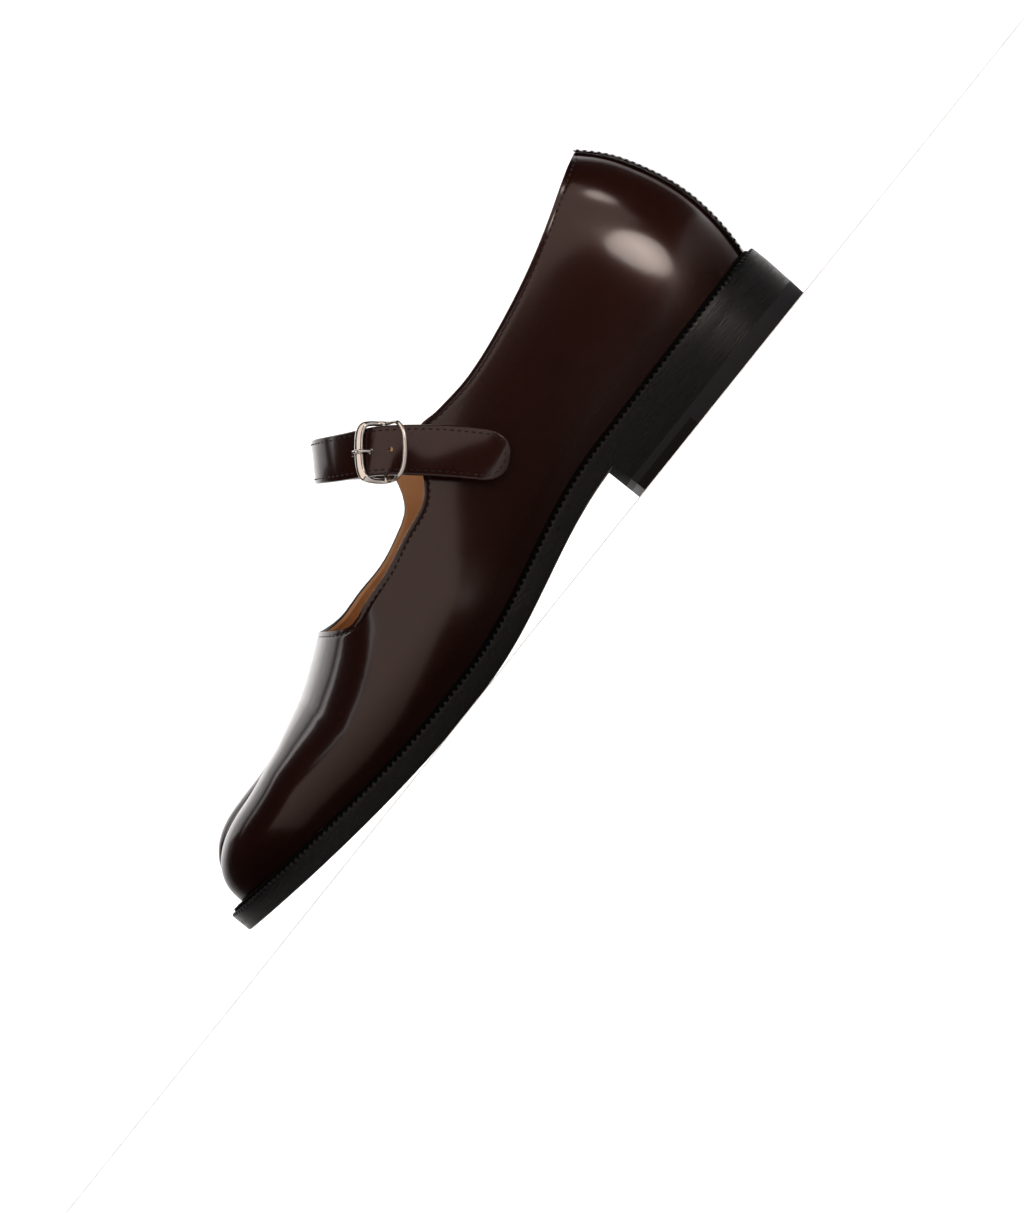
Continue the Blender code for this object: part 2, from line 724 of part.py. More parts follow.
def prong_hole(line):
    """Where along the strap the prong comes through, just inside the flat bar."""
    return line.buckle - BUCKLE_HALF + FLAT_BAR / 2 + HOLE / 2 + GAP


def tube(bm, path, wide, high, sides, closed=False, up=None):
    """Sweep an oval along a path. Wide and high are its half sizes, each one number or one for each point."""
    count = len(path)
    wide = [wide] * count if not hasattr(wide, "__len__") else wide
    high = [high] * count if not hasattr(high, "__len__") else high
    rings = []
    reference = up or Vector((0.3, 0.2, 0.93)).normalized()
    for i, point in enumerate(path):
        before = path[i - 1] if closed or i else path[i]
        after = path[(i + 1) % count] if closed or i < count - 1 else path[i]
        along = (after - before).normalized()
        if up is None and abs(along.dot(reference)) > 0.9:
            reference = Vector((0.93, 0.2, 0.3)).normalized()
        side = along.cross(reference).normalized()
        top = side.cross(along)
        rings.append([point + side * wide[i] * cos(2 * pi * k / sides) + top * high[i] * sin(2 * pi * k / sides)
                      for k in range(sides)])
    corners = lay(bm, [ring + ring[:1] for ring in (rings + rings[:1] if closed else rings)])
    if not closed:
        for end in (0, -1):
            bm.faces.new(corners[end][:-1])


def buckle_tab(line, material):
    """Runs up from the quarter, folds round the middle bar and comes back on itself. A slot clears the prong."""
    bm = bmesh.new()
    middle = BAR_HEIGHT
    radius = BAR / 2 + GAP + TAB / 2
    low, high = TAB_LIFT + TAB / 2, TAB_LIFT + GAP + 1.5 * TAB
    path = [(line.buckle + TAB_LENGTH * share, low) for share in (1.0, 0.8, 0.6, 0.4, 0.22)]
    for k in range(9):
        angle = -pi / 2 - pi * k / 8
        height = middle + radius * sin(angle)
        path.append((line.buckle + radius * cos(angle), max(height, low)))
    path += [(line.buckle + TAB_FOLD * share, high + (middle + radius - high) * (1 - ease(share / 0.6)))
             for share in (0.15, 0.3, 0.45, 0.6, 1.0)]
    rows = []
    for i, (s, h) in enumerate(path):
        before, after = path[max(i - 1, 0)], path[min(i + 1, len(path) - 1)]
        ds, dh = after[0] - before[0], after[1] - before[1]
        size = sqrt(ds * ds + dh * dh)
        across_s, across_h = -dh / size * TAB / 2, ds / size * TAB / 2
        rows.append([line.point(s + sign * across_s, y, h + sign * across_h)
                     for y, sign in ((-TAB_WIDTH / 2, -1), (TAB_WIDTH / 2, -1), (TAB_WIDTH / 2, 1), (-TAB_WIDTH / 2, 1))])
    corners = lay(bm, [row + row[:1] for row in rows])
    for end in (0, -1):
        bm.faces.new(corners[end][:-1])
    made = finish("buckle_tab", bm, material)
    bm = bmesh.new()
    spots = [(line.buckle - 0.004, -0.003), (line.buckle + 0.0035, -0.003)]
    rows = [[line.point(s, y, h) for y, h in (
        (-TAB_SLOT / 2, -0.003), (TAB_SLOT / 2, -0.003), (TAB_SLOT / 2, 0.007), (-TAB_SLOT / 2, 0.007))]
        for s, _ in spots]
    corners = lay(bm, [row + row[:1] for row in rows])
    for end in (0, -1):
        bm.faces.new(corners[end][:-1])
    combine(made, cutter("tab_slot", bm), "DIFFERENCE")
    return made


def end_bar_height(line, s, thick):
    return line.lift(s) + STRAP + GAP + thick / 2


def buckle_frame(line, material):
    """Two end bars over the strap, side rails that dip beside it, and a middle bar under it."""
    bm = bmesh.new()
    rail_across = line.width(line.buckle + BUCKLE_HALF) / 2 + GAP + RAIL / 2
    flat_s, keeper_s = line.buckle - BUCKLE_HALF, line.buckle + BUCKLE_HALF
    flat_height = end_bar_height(line, flat_s, BAR)
    keeper_height = end_bar_height(line, keeper_s, BAR)
    corner = RAIL
    path, wide = [], []

    def add(s, across, height, half):
        path.append(line.point(s, across, height))
        wide.append(half)

    for sign in (1, -1):
        ends = ((flat_s, flat_height), (keeper_s, keeper_height))
        (s0, h0), (s1, h1) = ends if sign > 0 else ends[::-1]
        half0 = FLAT_BAR / 2 if sign > 0 else BAR / 2
        for y in (-0.7, -0.35, 0, 0.35, 0.7):
            add(s0, sign * y * rail_across, h0, half0)
        direction = 1 if s1 > s0 else -1
        add(s0, sign * (rail_across - corner), h0, half0)
        add(s0 + direction * corner * 0.3, sign * (rail_across - corner * 0.3), h0, RAIL / 2)
        add(s0 + direction * corner, sign * rail_across, h0 - 0.0004, RAIL / 2)
        for share in (0.3, 0.5, 0.7):
            dip = sin(pi * share) ** 2
            s = s0 + (s1 - s0) * share
            add(s, sign * rail_across, (h0 + (h1 - h0) * share) * (1 - dip) + BAR_HEIGHT * dip, RAIL / 2)
        add(s1 - direction * corner, sign * rail_across, h1 - 0.0004, RAIL / 2)
        add(s1 - direction * corner * 0.3, sign * (rail_across - corner * 0.3), h1, RAIL / 2)
        add(s1, sign * (rail_across - corner), h1, BAR / 2 if sign > 0 else FLAT_BAR / 2)
    out = (line.point(line.buckle, 0, 1) - line.point(line.buckle, 0, 0)).normalized()
    tube(bm, path, wide, BAR / 2, 8, closed=True, up=out)
    frame = finish("buckle_frame", bm, material)
    bm = bmesh.new()
    tube(bm, [line.point(line.buckle, y * rail_across, BAR_HEIGHT) for y in (-1, 1)], BAR / 2, BAR / 2, 10)
    combine(frame, cutter("middle_bar", bm), "UNION")
    return frame


def buckle_prong(line, material):
    """Hooked round the middle bar, up through the strap's hole and along to the flat bar."""
    bm = bmesh.new()
    ring = BAR / 2 + GAP + PRONG / 2
    path = []
    for k in range(9):
        angle = pi * 0.30 - 1.42 * pi * k / 8
        path.append((line.buckle + ring * cos(angle), BAR_HEIGHT + ring * sin(angle)))
    hole = prong_hole(line)
    under = line.lift(hole)
    top = under + STRAP
    flat_s = line.buckle - BUCKLE_HALF
    over_bar = end_bar_height(line, flat_s, BAR) + BAR / 2 + GAP + PRONG / 2
    path += [(hole + 0.0001, under - GAP), (hole, top - STRAP / 2), (hole - 0.0001, top + GAP),
             (hole - 0.0010, top + PRONG / 2 + 2 * GAP), (flat_s + 0.0012, over_bar), (flat_s - 0.0008, over_bar),
             (flat_s - 0.0018, over_bar - 0.0003)]
    side = (line.point(line.buckle, 1, 0) - line.point(line.buckle, 0, 0)).normalized()
    tube(bm, [line.point(s, 0, h) for s, h in path], PRONG / 2, PRONG / 2, 8, up=side)
    return finish("buckle_prong", bm, material)


def main():
    for old in list(bpy.data.objects):
        bpy.data.objects.remove(old, do_unlink=True)
    material("Hidden", (0.5, 0.5, 0.5), 0.5)
    leather = material("Upper leather", (0.030, 0.018, 0.013), 0.12)
    edge = material("Black edge", (0.012, 0.011, 0.011), 0.35)
    sole_leather = material("Sole leather", (0.30, 0.23, 0.18), 0.55)
    rubber = material("Rubber lift", (0.045, 0.045, 0.045), 0.75)
    insert = material("Lift insert", (0.010, 0.010, 0.010), 0.4)
    lining = material("Lining leather", (0.50, 0.23, 0.08), 0.6)
    metal = material("Nickel", (0.75, 0.74, 0.72), 0.2, 1.0)
    outsole(sole_leather)
    heel_stack(edge)
    top_lift(rubber)
    top_lift_insert(insert)
    welt(edge)
    insole(lining)
    upper(leather)
    back_strip(leather)
    line = StrapLine()
    strap(line, leather)
    buckle_tab(line, leather)
    buckle_frame(line, metal)
    buckle_prong(line, metal)


main()
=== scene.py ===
from collections import namedtuple
from math import cos, exp, pi, sin, tan

import bmesh
import bpy
import numpy as np
from mathutils import Matrix, Vector, noise


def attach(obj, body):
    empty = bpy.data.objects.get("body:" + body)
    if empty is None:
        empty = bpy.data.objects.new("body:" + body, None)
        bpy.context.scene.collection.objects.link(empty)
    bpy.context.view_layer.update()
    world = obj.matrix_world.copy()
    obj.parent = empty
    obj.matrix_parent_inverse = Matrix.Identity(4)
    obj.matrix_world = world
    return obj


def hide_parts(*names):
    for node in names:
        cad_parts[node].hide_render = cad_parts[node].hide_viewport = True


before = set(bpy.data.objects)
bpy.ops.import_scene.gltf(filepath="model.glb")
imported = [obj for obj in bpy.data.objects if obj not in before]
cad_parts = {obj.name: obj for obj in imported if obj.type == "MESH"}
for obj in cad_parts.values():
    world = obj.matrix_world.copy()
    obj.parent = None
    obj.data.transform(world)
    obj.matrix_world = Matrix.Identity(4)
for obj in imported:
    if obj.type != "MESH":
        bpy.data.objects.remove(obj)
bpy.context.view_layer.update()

# OUTSOLE. One layer of bark-tanned sole leather, cut to the last's outline, with the split between the toes.
# Its edge is waxed black and its underside is left natural. The plan and the heights set here serve every
# piece above it.

LATERAL, MEDIAL = 1, -1
SIDES = (LATERAL, MEDIAL)
LENGTH = 0.293
BALL_WIDTH = 0.103
HEEL_WIDTH = 0.068
ORIGIN_SHARE = 0.1468  # of the length, from the back of the sole to the middle of the heel's tread
BREAST_HEIGHT = 0.0138
SEAT_RISE = 0.0018
TOE_SPRING = 0.0118
BREAST_SHARE = 0.3055
WAIST_BACK, WAIST_FRONT = 0.290, 0.611
SPRING_START = 0.661
SPRING_POWER = 1.55
GAP = 0.0003
OUTSOLE = 0.0053
EDGE_BEVEL = 0.0006
SIDE_LEDGE = 0.0045
HEEL_LEDGE = 0.0038
TOE_LEDGE = 0.0060
CLEFT_LEDGE = 0.0020
CLEFT_WIDTH = 0.0034
CLEFT_ROOT = 0.860
CLEFT_START = 0.781
HEEL_ROUND, HEEL_SQUARE = 0.174, 2.5
THROAT, THROAT_SIDE = 0.672, 0.635

# The plan: half widths left and right of the last's middle line, as shares of the ball width and the heel
# width, the middle line itself, and the side ledge. "at" is the share of the length.
Plan = namedtuple("Plan", "at lateral medial heel middle ledge")
PLAN = (
    Plan(0.000, 0.000, 0.000, 0.50, 0.000, 0.62),
    Plan(0.174, 0.000, 0.000, 0.50, 0.000, 0.70),
    Plan(0.259, 0.043, 0.038, 0.42, 0.000, 0.78),
    Plan(0.345, 0.132, 0.108, 0.27, 0.000, 0.86),
    Plan(0.413, 0.235, 0.182, 0.13, -0.004, 0.92),
    Plan(0.481, 0.340, 0.267, 0.03, -0.010, 0.97),
    Plan(0.567, 0.447, 0.369, 0.00, -0.020, 1.00),
    Plan(0.652, 0.508, 0.447, 0.00, -0.035, 1.00),
    Plan(0.720, 0.519, 0.481, 0.00, -0.049, 1.00),
    Plan(0.788, 0.515, 0.490, 0.00, -0.060, 1.00),
    Plan(0.891, 0.505, 0.485, 0.00, -0.080, 1.05),
    Plan(1.000, 0.495, 0.476, 0.00, -0.088, 1.10),
)

# Each lobe's tip: its place along and across, where its outer and inner edge and its ridge start to round
# off, and how square those curves are.
Tip = namedtuple("Tip", "along across outer_start inner_start ridge_start outer_square ridge_square")
TIPS = {
    LATERAL: Tip(0.9915, 0.090, 0.715, 0.925, 0.884, 1.95, 2.5),
    MEDIAL: Tip(1.0000, -0.225, 0.785, 0.905, 0.897, 1.95, 2.5),
}


def curve(rows, column):
    """Give the smooth curve through one column of a table, against the table's first column."""
    at = np.array([row[0] for row in rows])
    value = np.array([getattr(row, column) for row in rows])
    step = np.diff(at)
    slope = np.diff(value) / step
    matrix = np.eye(len(at))
    right = np.zeros(len(at))
    for i in range(1, len(at) - 1):
        matrix[i, i - 1:i + 2] = step[i - 1], 2 * (step[i - 1] + step[i]), step[i]
        right[i] = 6 * (slope[i] - slope[i - 1])
    bend = np.linalg.solve(matrix, right)

    def read(x):
        i = min(max(int(np.searchsorted(at, x)) - 1, 0), len(at) - 2)
        x = min(max(x, at[0]), at[-1]) - at[i]
        first = slope[i] - step[i] * (2 * bend[i] + bend[i + 1]) / 6
        return float(value[i] + x * (first + x * (bend[i] / 2 + x * (bend[i + 1] - bend[i]) / (6 * step[i]))))

    return read


def round_off(share, square):
    """Fall from 1 at share 0 to 0 at share 1, along a quarter of a rounded square."""
    share = min(max(share, 0.0), 1.0)
    return (1 - share ** square) ** (1 / square)


def ease(share):
    """Rise from 0 to 1 with level ends."""
    share = min(max(share, 0.0), 1.0)
    return share * share * share * (10 - share * (15 - 6 * share))


WIDTH = {LATERAL: curve(PLAN, "lateral"), MEDIAL: curve(PLAN, "medial")}
HEEL, MIDDLE, LEDGE = (curve(PLAN, name) for name in ("heel", "middle", "ledge"))


def rear(ledges=0.0, depth=0.0):
    return (ledges * HEEL_LEDGE + depth) / LENGTH


def front(side, ledges=0.0, depth=0.0):
    return TIPS[side].along - (ledges * TOE_LEDGE + depth) / LENGTH


def cleft_half(ledges=0.0, depth=0.0):
    return CLEFT_WIDTH / 2 + ledges * CLEFT_LEDGE + depth


def root(ledges=0.0, depth=0.0):
    return CLEFT_ROOT - (ledges * CLEFT_LEDGE + depth) / LENGTH


def outer_edge(side, at, ledges=0.0, depth=0.0):
    """The outline's outer edge, across the shoe."""
    half = WIDTH[side](at) * BALL_WIDTH + HEEL(at) * HEEL_WIDTH - ledges * LEDGE(at) * SIDE_LEDGE - depth
    back = rear(ledges, depth)
    half *= round_off((HEEL_ROUND - at) / (HEEL_ROUND - back), HEEL_SQUARE)
    tip = TIPS[side]
    tip_across = tip.across * BALL_WIDTH
    closing = round_off((at - tip.outer_start) / (front(side, ledges, depth) - tip.outer_start),
                        tip.outer_square)
    return tip_across + (side * half - tip_across) * closing


def inner_edge(side, at, ledges=0.0, depth=0.0):
    """The wall of the split, in front of its root, and the middle line behind it."""
    middle = MIDDLE(at) * BALL_WIDTH
    if at <= root(ledges, depth):
        return middle
    tip = TIPS[side]
    tip_across = tip.across * BALL_WIDTH
    wall = middle + side * cleft_half(ledges, depth)
    closing = round_off((at - tip.inner_start) / (front(side, ledges, depth) - tip.inner_start), 2.0)
    return tip_across + (wall - tip_across) * closing


def sole_bottom(at):
    """Heel seat, arch, flat ball and toe spring of the outsole's underside."""
    if at < WAIST_BACK:
        return BREAST_HEIGHT + SEAT_RISE * (WAIST_BACK - at) / WAIST_BACK
    if at < WAIST_FRONT:
        return BREAST_HEIGHT * (1 + cos(pi * (at - WAIST_BACK) / (WAIST_FRONT - WAIST_BACK))) / 2
    if at < SPRING_START:
        return 0.0
    return TOE_SPRING * ((at - SPRING_START) / (1 - SPRING_START)) ** SPRING_POWER


def welt_bottom(at):
    """The welt's underside, a gap above the outsole."""
    return sole_bottom(at) + OUTSOLE + GAP


def place(at, across, height):
    return Vector(((at - ORIGIN_SHARE) * LENGTH, across, height))


def span(start, end, steps, crowd_start=False, crowd_end=False):
    """Shares from start to just before end, crowded where a curve closes."""
    shares = []
    for i in range(steps):
        t = i / steps
        if crowd_start:
            t = 1 - cos(pi * t / 2)
        elif crowd_end:
            t = sin(pi * t / 2)
        shares.append(start + (end - start) * t)
    return shares


# The steps from the back to each place in turn: the heel's round end, these two, the throat's side and the
# throat, the split's start and root, and the lobe's front.
HEEL_END, WAIST_END = 0.37, 0.50
STEPS = (9, 5, 12, 4, 6, 5, 7, 11)
SOLE_STEPS = (30, 12, 20, 16, 6, 16, 10, 30)
UPPER_STEPS = (26, 14, 34, 12, 18, 22, 20, 34)
ROOT_STEP = 0.002  # the first step past the split's root


def stations(side, ledges=0.0, depth=0.0, steps=STEPS, places=(THROAT_SIDE, THROAT)):
    """Every station of one half, and the numbers of those at the throat and the root of the split."""
    back, heel, waist, sides, throat, vamp, split, lobe = steps
    first, second = places
    shares = span(rear(ledges, depth), HEEL_ROUND, back, crowd_start=True)
    shares += span(HEEL_ROUND, HEEL_END, heel)
    shares += span(HEEL_END, WAIST_END, waist)
    shares += span(WAIST_END, first, sides)
    shares += span(first, second, throat, crowd_end=True)
    at_throat = len(shares)
    split_start = CLEFT_START - depth / LENGTH
    shares += span(second, split_start, vamp)
    shares += span(split_start, root(ledges, depth), split)
    at_root = len(shares)
    shares.append(root(ledges, depth))
    shares += span(root(ledges, depth) + ROOT_STEP, front(side, ledges, depth), lobe, crowd_end=True)
    shares.append(front(side, ledges, depth))
    return shares, at_throat, at_root


def fine_stations(side, ledges=0.0, depth=0.0):
    """The sole's own stations, close enough together to look smooth."""
    return stations(side, ledges, depth, SOLE_STEPS, (WAIST_FRONT, SPRING_START))


def lengths_along(points):
    """The length from a run's first point to each of its points."""
    steps = np.linalg.norm(np.diff(np.array(points), axis=0), axis=1)
    return np.concatenate(([0.0], np.cumsum(steps)))


def between(length, measured, points):
    """The point at a length along a run of points."""
    points = np.asarray(points)
    return Vector([np.interp(length, measured, points[:, axis]) for axis in range(3)])


def lay(bm, rows, slot=0):
    """Lay a plane grid over rows of points."""
    across, along = len(rows) - 1, len(rows[0]) - 1
    corners = bmesh.ops.create_grid(bm, x_segments=across, y_segments=along, size=1.0)["verts"]
    for corner in corners:
        i, j = round((corner.co.x + 1) / 2 * across), round((corner.co.y + 1) / 2 * along)
        corner.co = rows[i][j]
        for face in corner.link_faces:
            face.material_index = slot


def slab(bm, layers, start=None, end=None, steps=(30, 10), slots=(0,)):
    """Stack outlines into a closed solid. A layer is its ledges, its depth and its height over the length.
    Where a start or an end is given, the solid stops there in a straight face, as at the heel's breast."""
    for side in SIDES:
        outer, inner = [], []
        for ledges, depth, height in layers:
            if end is None:
                shares, _, at_root = fine_stations(side, ledges, depth)
            elif start is None:
                shares = span(rear(ledges, depth), HEEL_ROUND, steps[0], crowd_start=True)
                shares += span(HEEL_ROUND, end, steps[1]) + [end]
            else:
                shares = span(start, end, steps[1]) + [end]
            outer.append([place(at, outer_edge(side, at, ledges, depth), height(at)) for at in shares])
            inner.append([place(at, inner_edge(side, at, ledges, depth), height(at)) for at in shares])
        lay(bm, outer, slots[0])
        lay(bm, [outer[0], inner[0]], slots[-1])
        lay(bm, [outer[-1], inner[-1]], slots[0])
        if start is not None:
            lay(bm, [[row[0] for row in outer], [row[0] for row in inner]], slots[0])
        if end is None:
            lay(bm, [row[at_root:] for row in inner], slots[0])
        else:
            lay(bm, [[row[-1] for row in outer], [row[-1] for row in inner]], slots[-1])


def colour(code):
    """Turn an sRGB hex value to a linear colour."""
    parts = [int(code[i:i + 2], 16) / 255 for i in (1, 3, 5)]
    return (*[c / 12.92 if c <= 0.04045 else ((c + 0.055) / 1.055) ** 2.4 for c in parts], 1.0)


def new_material(name, code, roughness, **settings):
    """A surface with one base colour and roughness, and what else its shader is given."""
    made = bpy.data.materials.new(name)
    made.use_nodes = True
    shader = made.node_tree.nodes["Principled BSDF"]
    shader.inputs["Base Color"].default_value = colour(code)
    shader.inputs["Roughness"].default_value = roughness
    for socket, value in settings.items():
        shader.inputs[socket.replace("_", " ")].default_value = value
    made.diffuse_color = colour(code)
    return made, shader


def add(made, kind, settings, links):
    """Add a node with its settings and its links."""
    node = made.node_tree.nodes.new(kind)
    for name, value in settings.items():
        if isinstance(name, str) and hasattr(node, name):
            setattr(node, name, value)
        else:
            node.inputs[name].default_value = value
    for socket, source in links.items():
        made.node_tree.links.new(source, node.inputs[socket])
    return node


def noise_on(made, scale, detail, stretch=(1, 1, 1), roughness=0.5):
    """A noise over the piece's own coordinates."""
    where = add(made, "ShaderNodeTexCoord", {}, {})
    placed = add(made, "ShaderNodeMapping", {"Scale": stretch}, {"Vector": where.outputs["Object"]})
    cloud = add(made, "ShaderNodeTexNoise", {"Scale": scale, "Detail": detail, "Roughness": roughness},
                {"Vector": placed.outputs[0]})
    return cloud.outputs["Fac"]


def tint(made, shader, amount, low, high):
    """Colour a surface between two colours."""
    mixed = add(made, "ShaderNodeMix", {"data_type": "RGBA", 6: colour(low), 7: colour(high)}, {0: amount})
    made.node_tree.links.new(mixed.outputs[2], shader.inputs["Base Color"])
    return mixed.outputs[2]


def dull(made, shader, amount, low, high, **limits):
    """Spread an amount over a surface's roughness."""
    spread = add(made, "ShaderNodeMapRange", {"To Min": low, "To Max": high, **limits}, {"Value": amount})
    made.node_tree.links.new(spread.outputs[0], shader.inputs["Roughness"])


def relief(made, shader, height, strength, distance, under=None):
    """Raise a surface, straight from its mesh or over another relief."""
    links = {"Height": height}
    if under is not None:
        links["Normal"] = under
    bump = add(made, "ShaderNodeBump", {"Strength": strength, "Distance": distance}, links)
    made.node_tree.links.new(bump.outputs[0], shader.inputs["Normal"])
    return bump.outputs[0]


def make_object(name, bm, materials, sharp=38):
    """Turn a mesh's faces outward and put it in the scene, smooth up to an angle."""
    bmesh.ops.recalc_face_normals(bm, faces=bm.faces)
    mesh = bpy.data.meshes.new(name)
    bm.to_mesh(mesh)
    bm.free()
    mesh.shade_smooth()
    mesh.set_sharp_from_angle(angle=sharp * pi / 180)
    for material in materials:
        mesh.materials.append(material)
    made = bpy.data.objects.new(name, mesh)
    bpy.context.scene.collection.objects.link(made)
    return made


def finish_piece(name, bm, materials, stands_for=None, sharp=38, weld=1e-6):
    """Close a mesh's seams and fix it to the shoe."""
    bmesh.ops.remove_doubles(bm, verts=bm.verts, dist=weld)
    bmesh.ops.dissolve_degenerate(bm, edges=bm.edges, dist=1e-7)
    piece = make_object(name, bm, materials, sharp)
    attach(piece, "root")
    if stands_for:
        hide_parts(stands_for)
    return piece


# Edge dressing: leather trimmed, burnished and waxed black. The brush leaves fine lines along the edge, about
# a third of a millimetre apart, which show as streaks in its sheen.
waxed_edge, shader = new_material("waxed black edge", "#060709", 0.28, Specular_IOR_Level=0.24)
brushed = noise_on(waxed_edge, 1.0, 4.0, stretch=(170, 170, 3000))
dull(waxed_edge, shader, brushed, 0.22, 0.46, **{"From Min": 0.3, "From Max": 0.7})
relief(waxed_edge, shader, brushed, 0.35, 0.0003)

# The heel's breast and the welt's groove take the black dye but not the polish.
dyed_leather, shader = new_material("black dyed leather", "#050505", 0.85, Specular_IOR_Level=0.05)

# Bark-tanned sole leather, sanded: a greyish tan with cloudy fibre marks of a few millimetres, and no shine.
sole_leather, shader = new_material("bark-tanned sole leather", "#a8978c", 0.62)
fibres = noise_on(sole_leather, 160.0, 6.0, roughness=0.6)
tint(sole_leather, shader, fibres, "#96857b", "#b5a498")
relief(sole_leather, shader, fibres, 0.4, 0.0001)

# The lower edge's layers, from the underside up round the bevel.
sole_layers = [(0, EDGE_BEVEL * (1 - sin(a)), lambda at, a=a: sole_bottom(at) + EDGE_BEVEL * (1 - cos(a)))
               for a in (0, pi / 6, pi / 3, pi / 2)]
bm = bmesh.new()
slab(bm, sole_layers + [(0, 0, welt_bottom)], slots=(0, 1))
finish_piece("sole", bm, [waxed_edge, sole_leather], "outsole")

# HEEL. Layers of leather board nailed under the seat, trimmed to one block and blacked as the sole's edge is,
# with a straight breast. Under it a moulded rubber lift with a harder black insert let into its front.

TOP_LIFT = 0.0060
INSERT = 0.0031
INSERT_SHARE = 0.208
HEEL_TAPER = 0.0010


def heel_depth(height):
    """The heel's sides lean in towards the floor."""
    return HEEL_TAPER * (1 - height / BREAST_HEIGHT)


# The block's top fills the sole's lower bevel, so that the blacked edge runs on.
bm = bmesh.new()
slab(bm, [(0, heel_depth(TOP_LIFT), lambda at: TOP_LIFT)] + sole_layers[::-1], end=BREAST_SHARE, slots=(0, 1))
finish_piece("heel_block", bm, [waxed_edge, dyed_leather], "heel_stack")

# Moulded rubber, dark grey and matte, with a fine even grain from the mould.
rubber, shader = new_material("moulded rubber", "#242528", 0.68, Specular_IOR_Level=0.15)
relief(rubber, shader, noise_on(rubber, 2200.0, 2.0), 0.3, 0.00005)
hard_rubber, shader = new_material("hard black rubber", "#08080a", 0.5, Specular_IOR_Level=0.2)

# The lift is whole behind the insert's back face and thinner in front of it.
tread, ledge, top = ((0, heel_depth(height), lambda at, height=height: height)
                     for height in (0.0, INSERT + GAP, TOP_LIFT))
bm = bmesh.new()
slab(bm, (tread, ledge), end=INSERT_SHARE)
slab(bm, (ledge, top), end=BREAST_SHARE)
finish_piece("rubber_lift", bm, [rubber], "top_lift")
bm = bmesh.new()
slab(bm, (tread, ledge), start=INSERT_SHARE, end=BREAST_SHARE)
finish_piece("lift_insert", bm, [hard_rubber], "top_lift_insert")

# WELT. A strip of leather sewn round the upper and into the split, blacked with the sole's edge. A hot
# toothed wheel has pressed its outer rim into ridges, and inside them it rises to the upper.

WELT = 0.0033
WELT_REACH = 0.0039  # how far the welt runs in under the upper
WELT_RAISE = 0.0011
WELT_STEP = 0.0016
TOOTH_PITCH = 0.00240
TOOTH_HEIGHT = 0.0013
WALL = 0.0024
HAIR = 0.00002  # what the welt stays below the upper, so that no light shows between them
NOTCH = 0.24  # half width of a notch, as a share of the pitch
POINTS_A_RIDGE = 7
BASE_FOOT = 0.0005
FLAT_DROP = 0.0009

# Over the rim's flat, each ridge rises from the edge and falls again: how far in, and the share of its
# height.
Ridge = namedtuple("Ridge", "depth share")
RIDGE = (
    Ridge(0.0001, 0.45),
    Ridge(0.0004, 0.85),
    Ridge(0.0009, 1.00),
    Ridge(0.0013, 0.70),
)
POLISHED_ROWS = len(RIDGE) + 4  # of the welt's section, counted from its underside


def feather(at):
    """The upper's lower edge, on the welt."""
    return welt_bottom(at) + WELT + GAP


def tooth(along):
    """The height of one ridge: a round top with a narrow pressed notch on each side."""
    phase = (along / TOOTH_PITCH + 0.5) % 1.0
    return TOOTH_HEIGHT * (1 - exp(-(min(phase, 1 - phase) / NOTCH) ** 2))


def welt_profile(at, along):
    """Ledges, depth and height round the welt's section. The ridges stand on its outer rim."""
    base = welt_bottom(at)
    raised = feather(at) - HAIR
    flat = base + WELT - WELT_RAISE - FLAT_DROP
    flange = WALL + WELT_REACH - CLEFT_LEDGE
    return (
        (0, 0, base), (0, 0, base + BASE_FOOT), (0, 0, flat - 0.0003),
        *((0, row.depth, flat + tooth(along) * row.share) for row in RIDGE),
        (0, WELT_STEP, flat + 0.0001), (0, WELT_STEP + 0.0005, raised - 0.0002),
        (0, WELT_STEP + 0.0010, raised), (1, flange, raised), (1, flange, base))


bm = bmesh.new()
for side in SIDES:
    rim, _, at_root = fine_stations(side)
    measured = lengths_along([place(at, outer_edge(side, at), 0) for at in rim])
    ridges = round(measured[-1] / TOOTH_PITCH)
    spots = np.linspace(0, measured[-1], ridges * POINTS_A_RIDGE + 1)
    index = np.interp(spots, measured, np.arange(len(rim)))
    outer, inner = [], []
    for number, (ledges, depth, _) in enumerate(welt_profile(0, 0)):
        shares = fine_stations(side, ledges, depth)[0]
        row = []
        for along, i in zip(spots, index):
            at = float(np.interp(i, np.arange(len(shares)), shares))
            height = welt_profile(at, along * ridges * TOOTH_PITCH / measured[-1])[number][2]
            row.append(place(at, outer_edge(side, at, ledges, depth), height))
        outer.append(row)
        inner.append([place(at, inner_edge(side, at, ledges, depth), welt_profile(at, 0)[number][2])
                      for at in shares[at_root:]])
    lay(bm, outer[:POLISHED_ROWS])
    lay(bm, outer[POLISHED_ROWS - 1:] + outer[:1], 1)
    lay(bm, inner + inner[:1], 1)
finish_piece("wheeled_welt", bm, [waxed_edge, dyed_leather], "welt", weld=4e-6)

# INSOLE. A leather sock glued over the insole, cut 2 mm thick to the inside of the upper. It lies on the
# welt's inner flange and shows through the collar as the shoe's tan floor.

INSOLE = 0.0020
INSOLE_GAP = 0.0006
INSOLE_NOTCH = 0.0050
INSOLE_BEVEL = 0.0005

# Vegetable-tanned calf lining, unfinished: warm tan, dull, with a soft cloudy tint.
lining, shader = new_material("vegetable-tanned calf lining", "#cb996a", 0.55)
tint(lining, shader, noise_on(lining, 90.0, 5.0), "#bd8a5b", "#d8a87a")
relief(lining, shader, noise_on(lining, 1900.0, 3.0), 0.35, 0.00006)

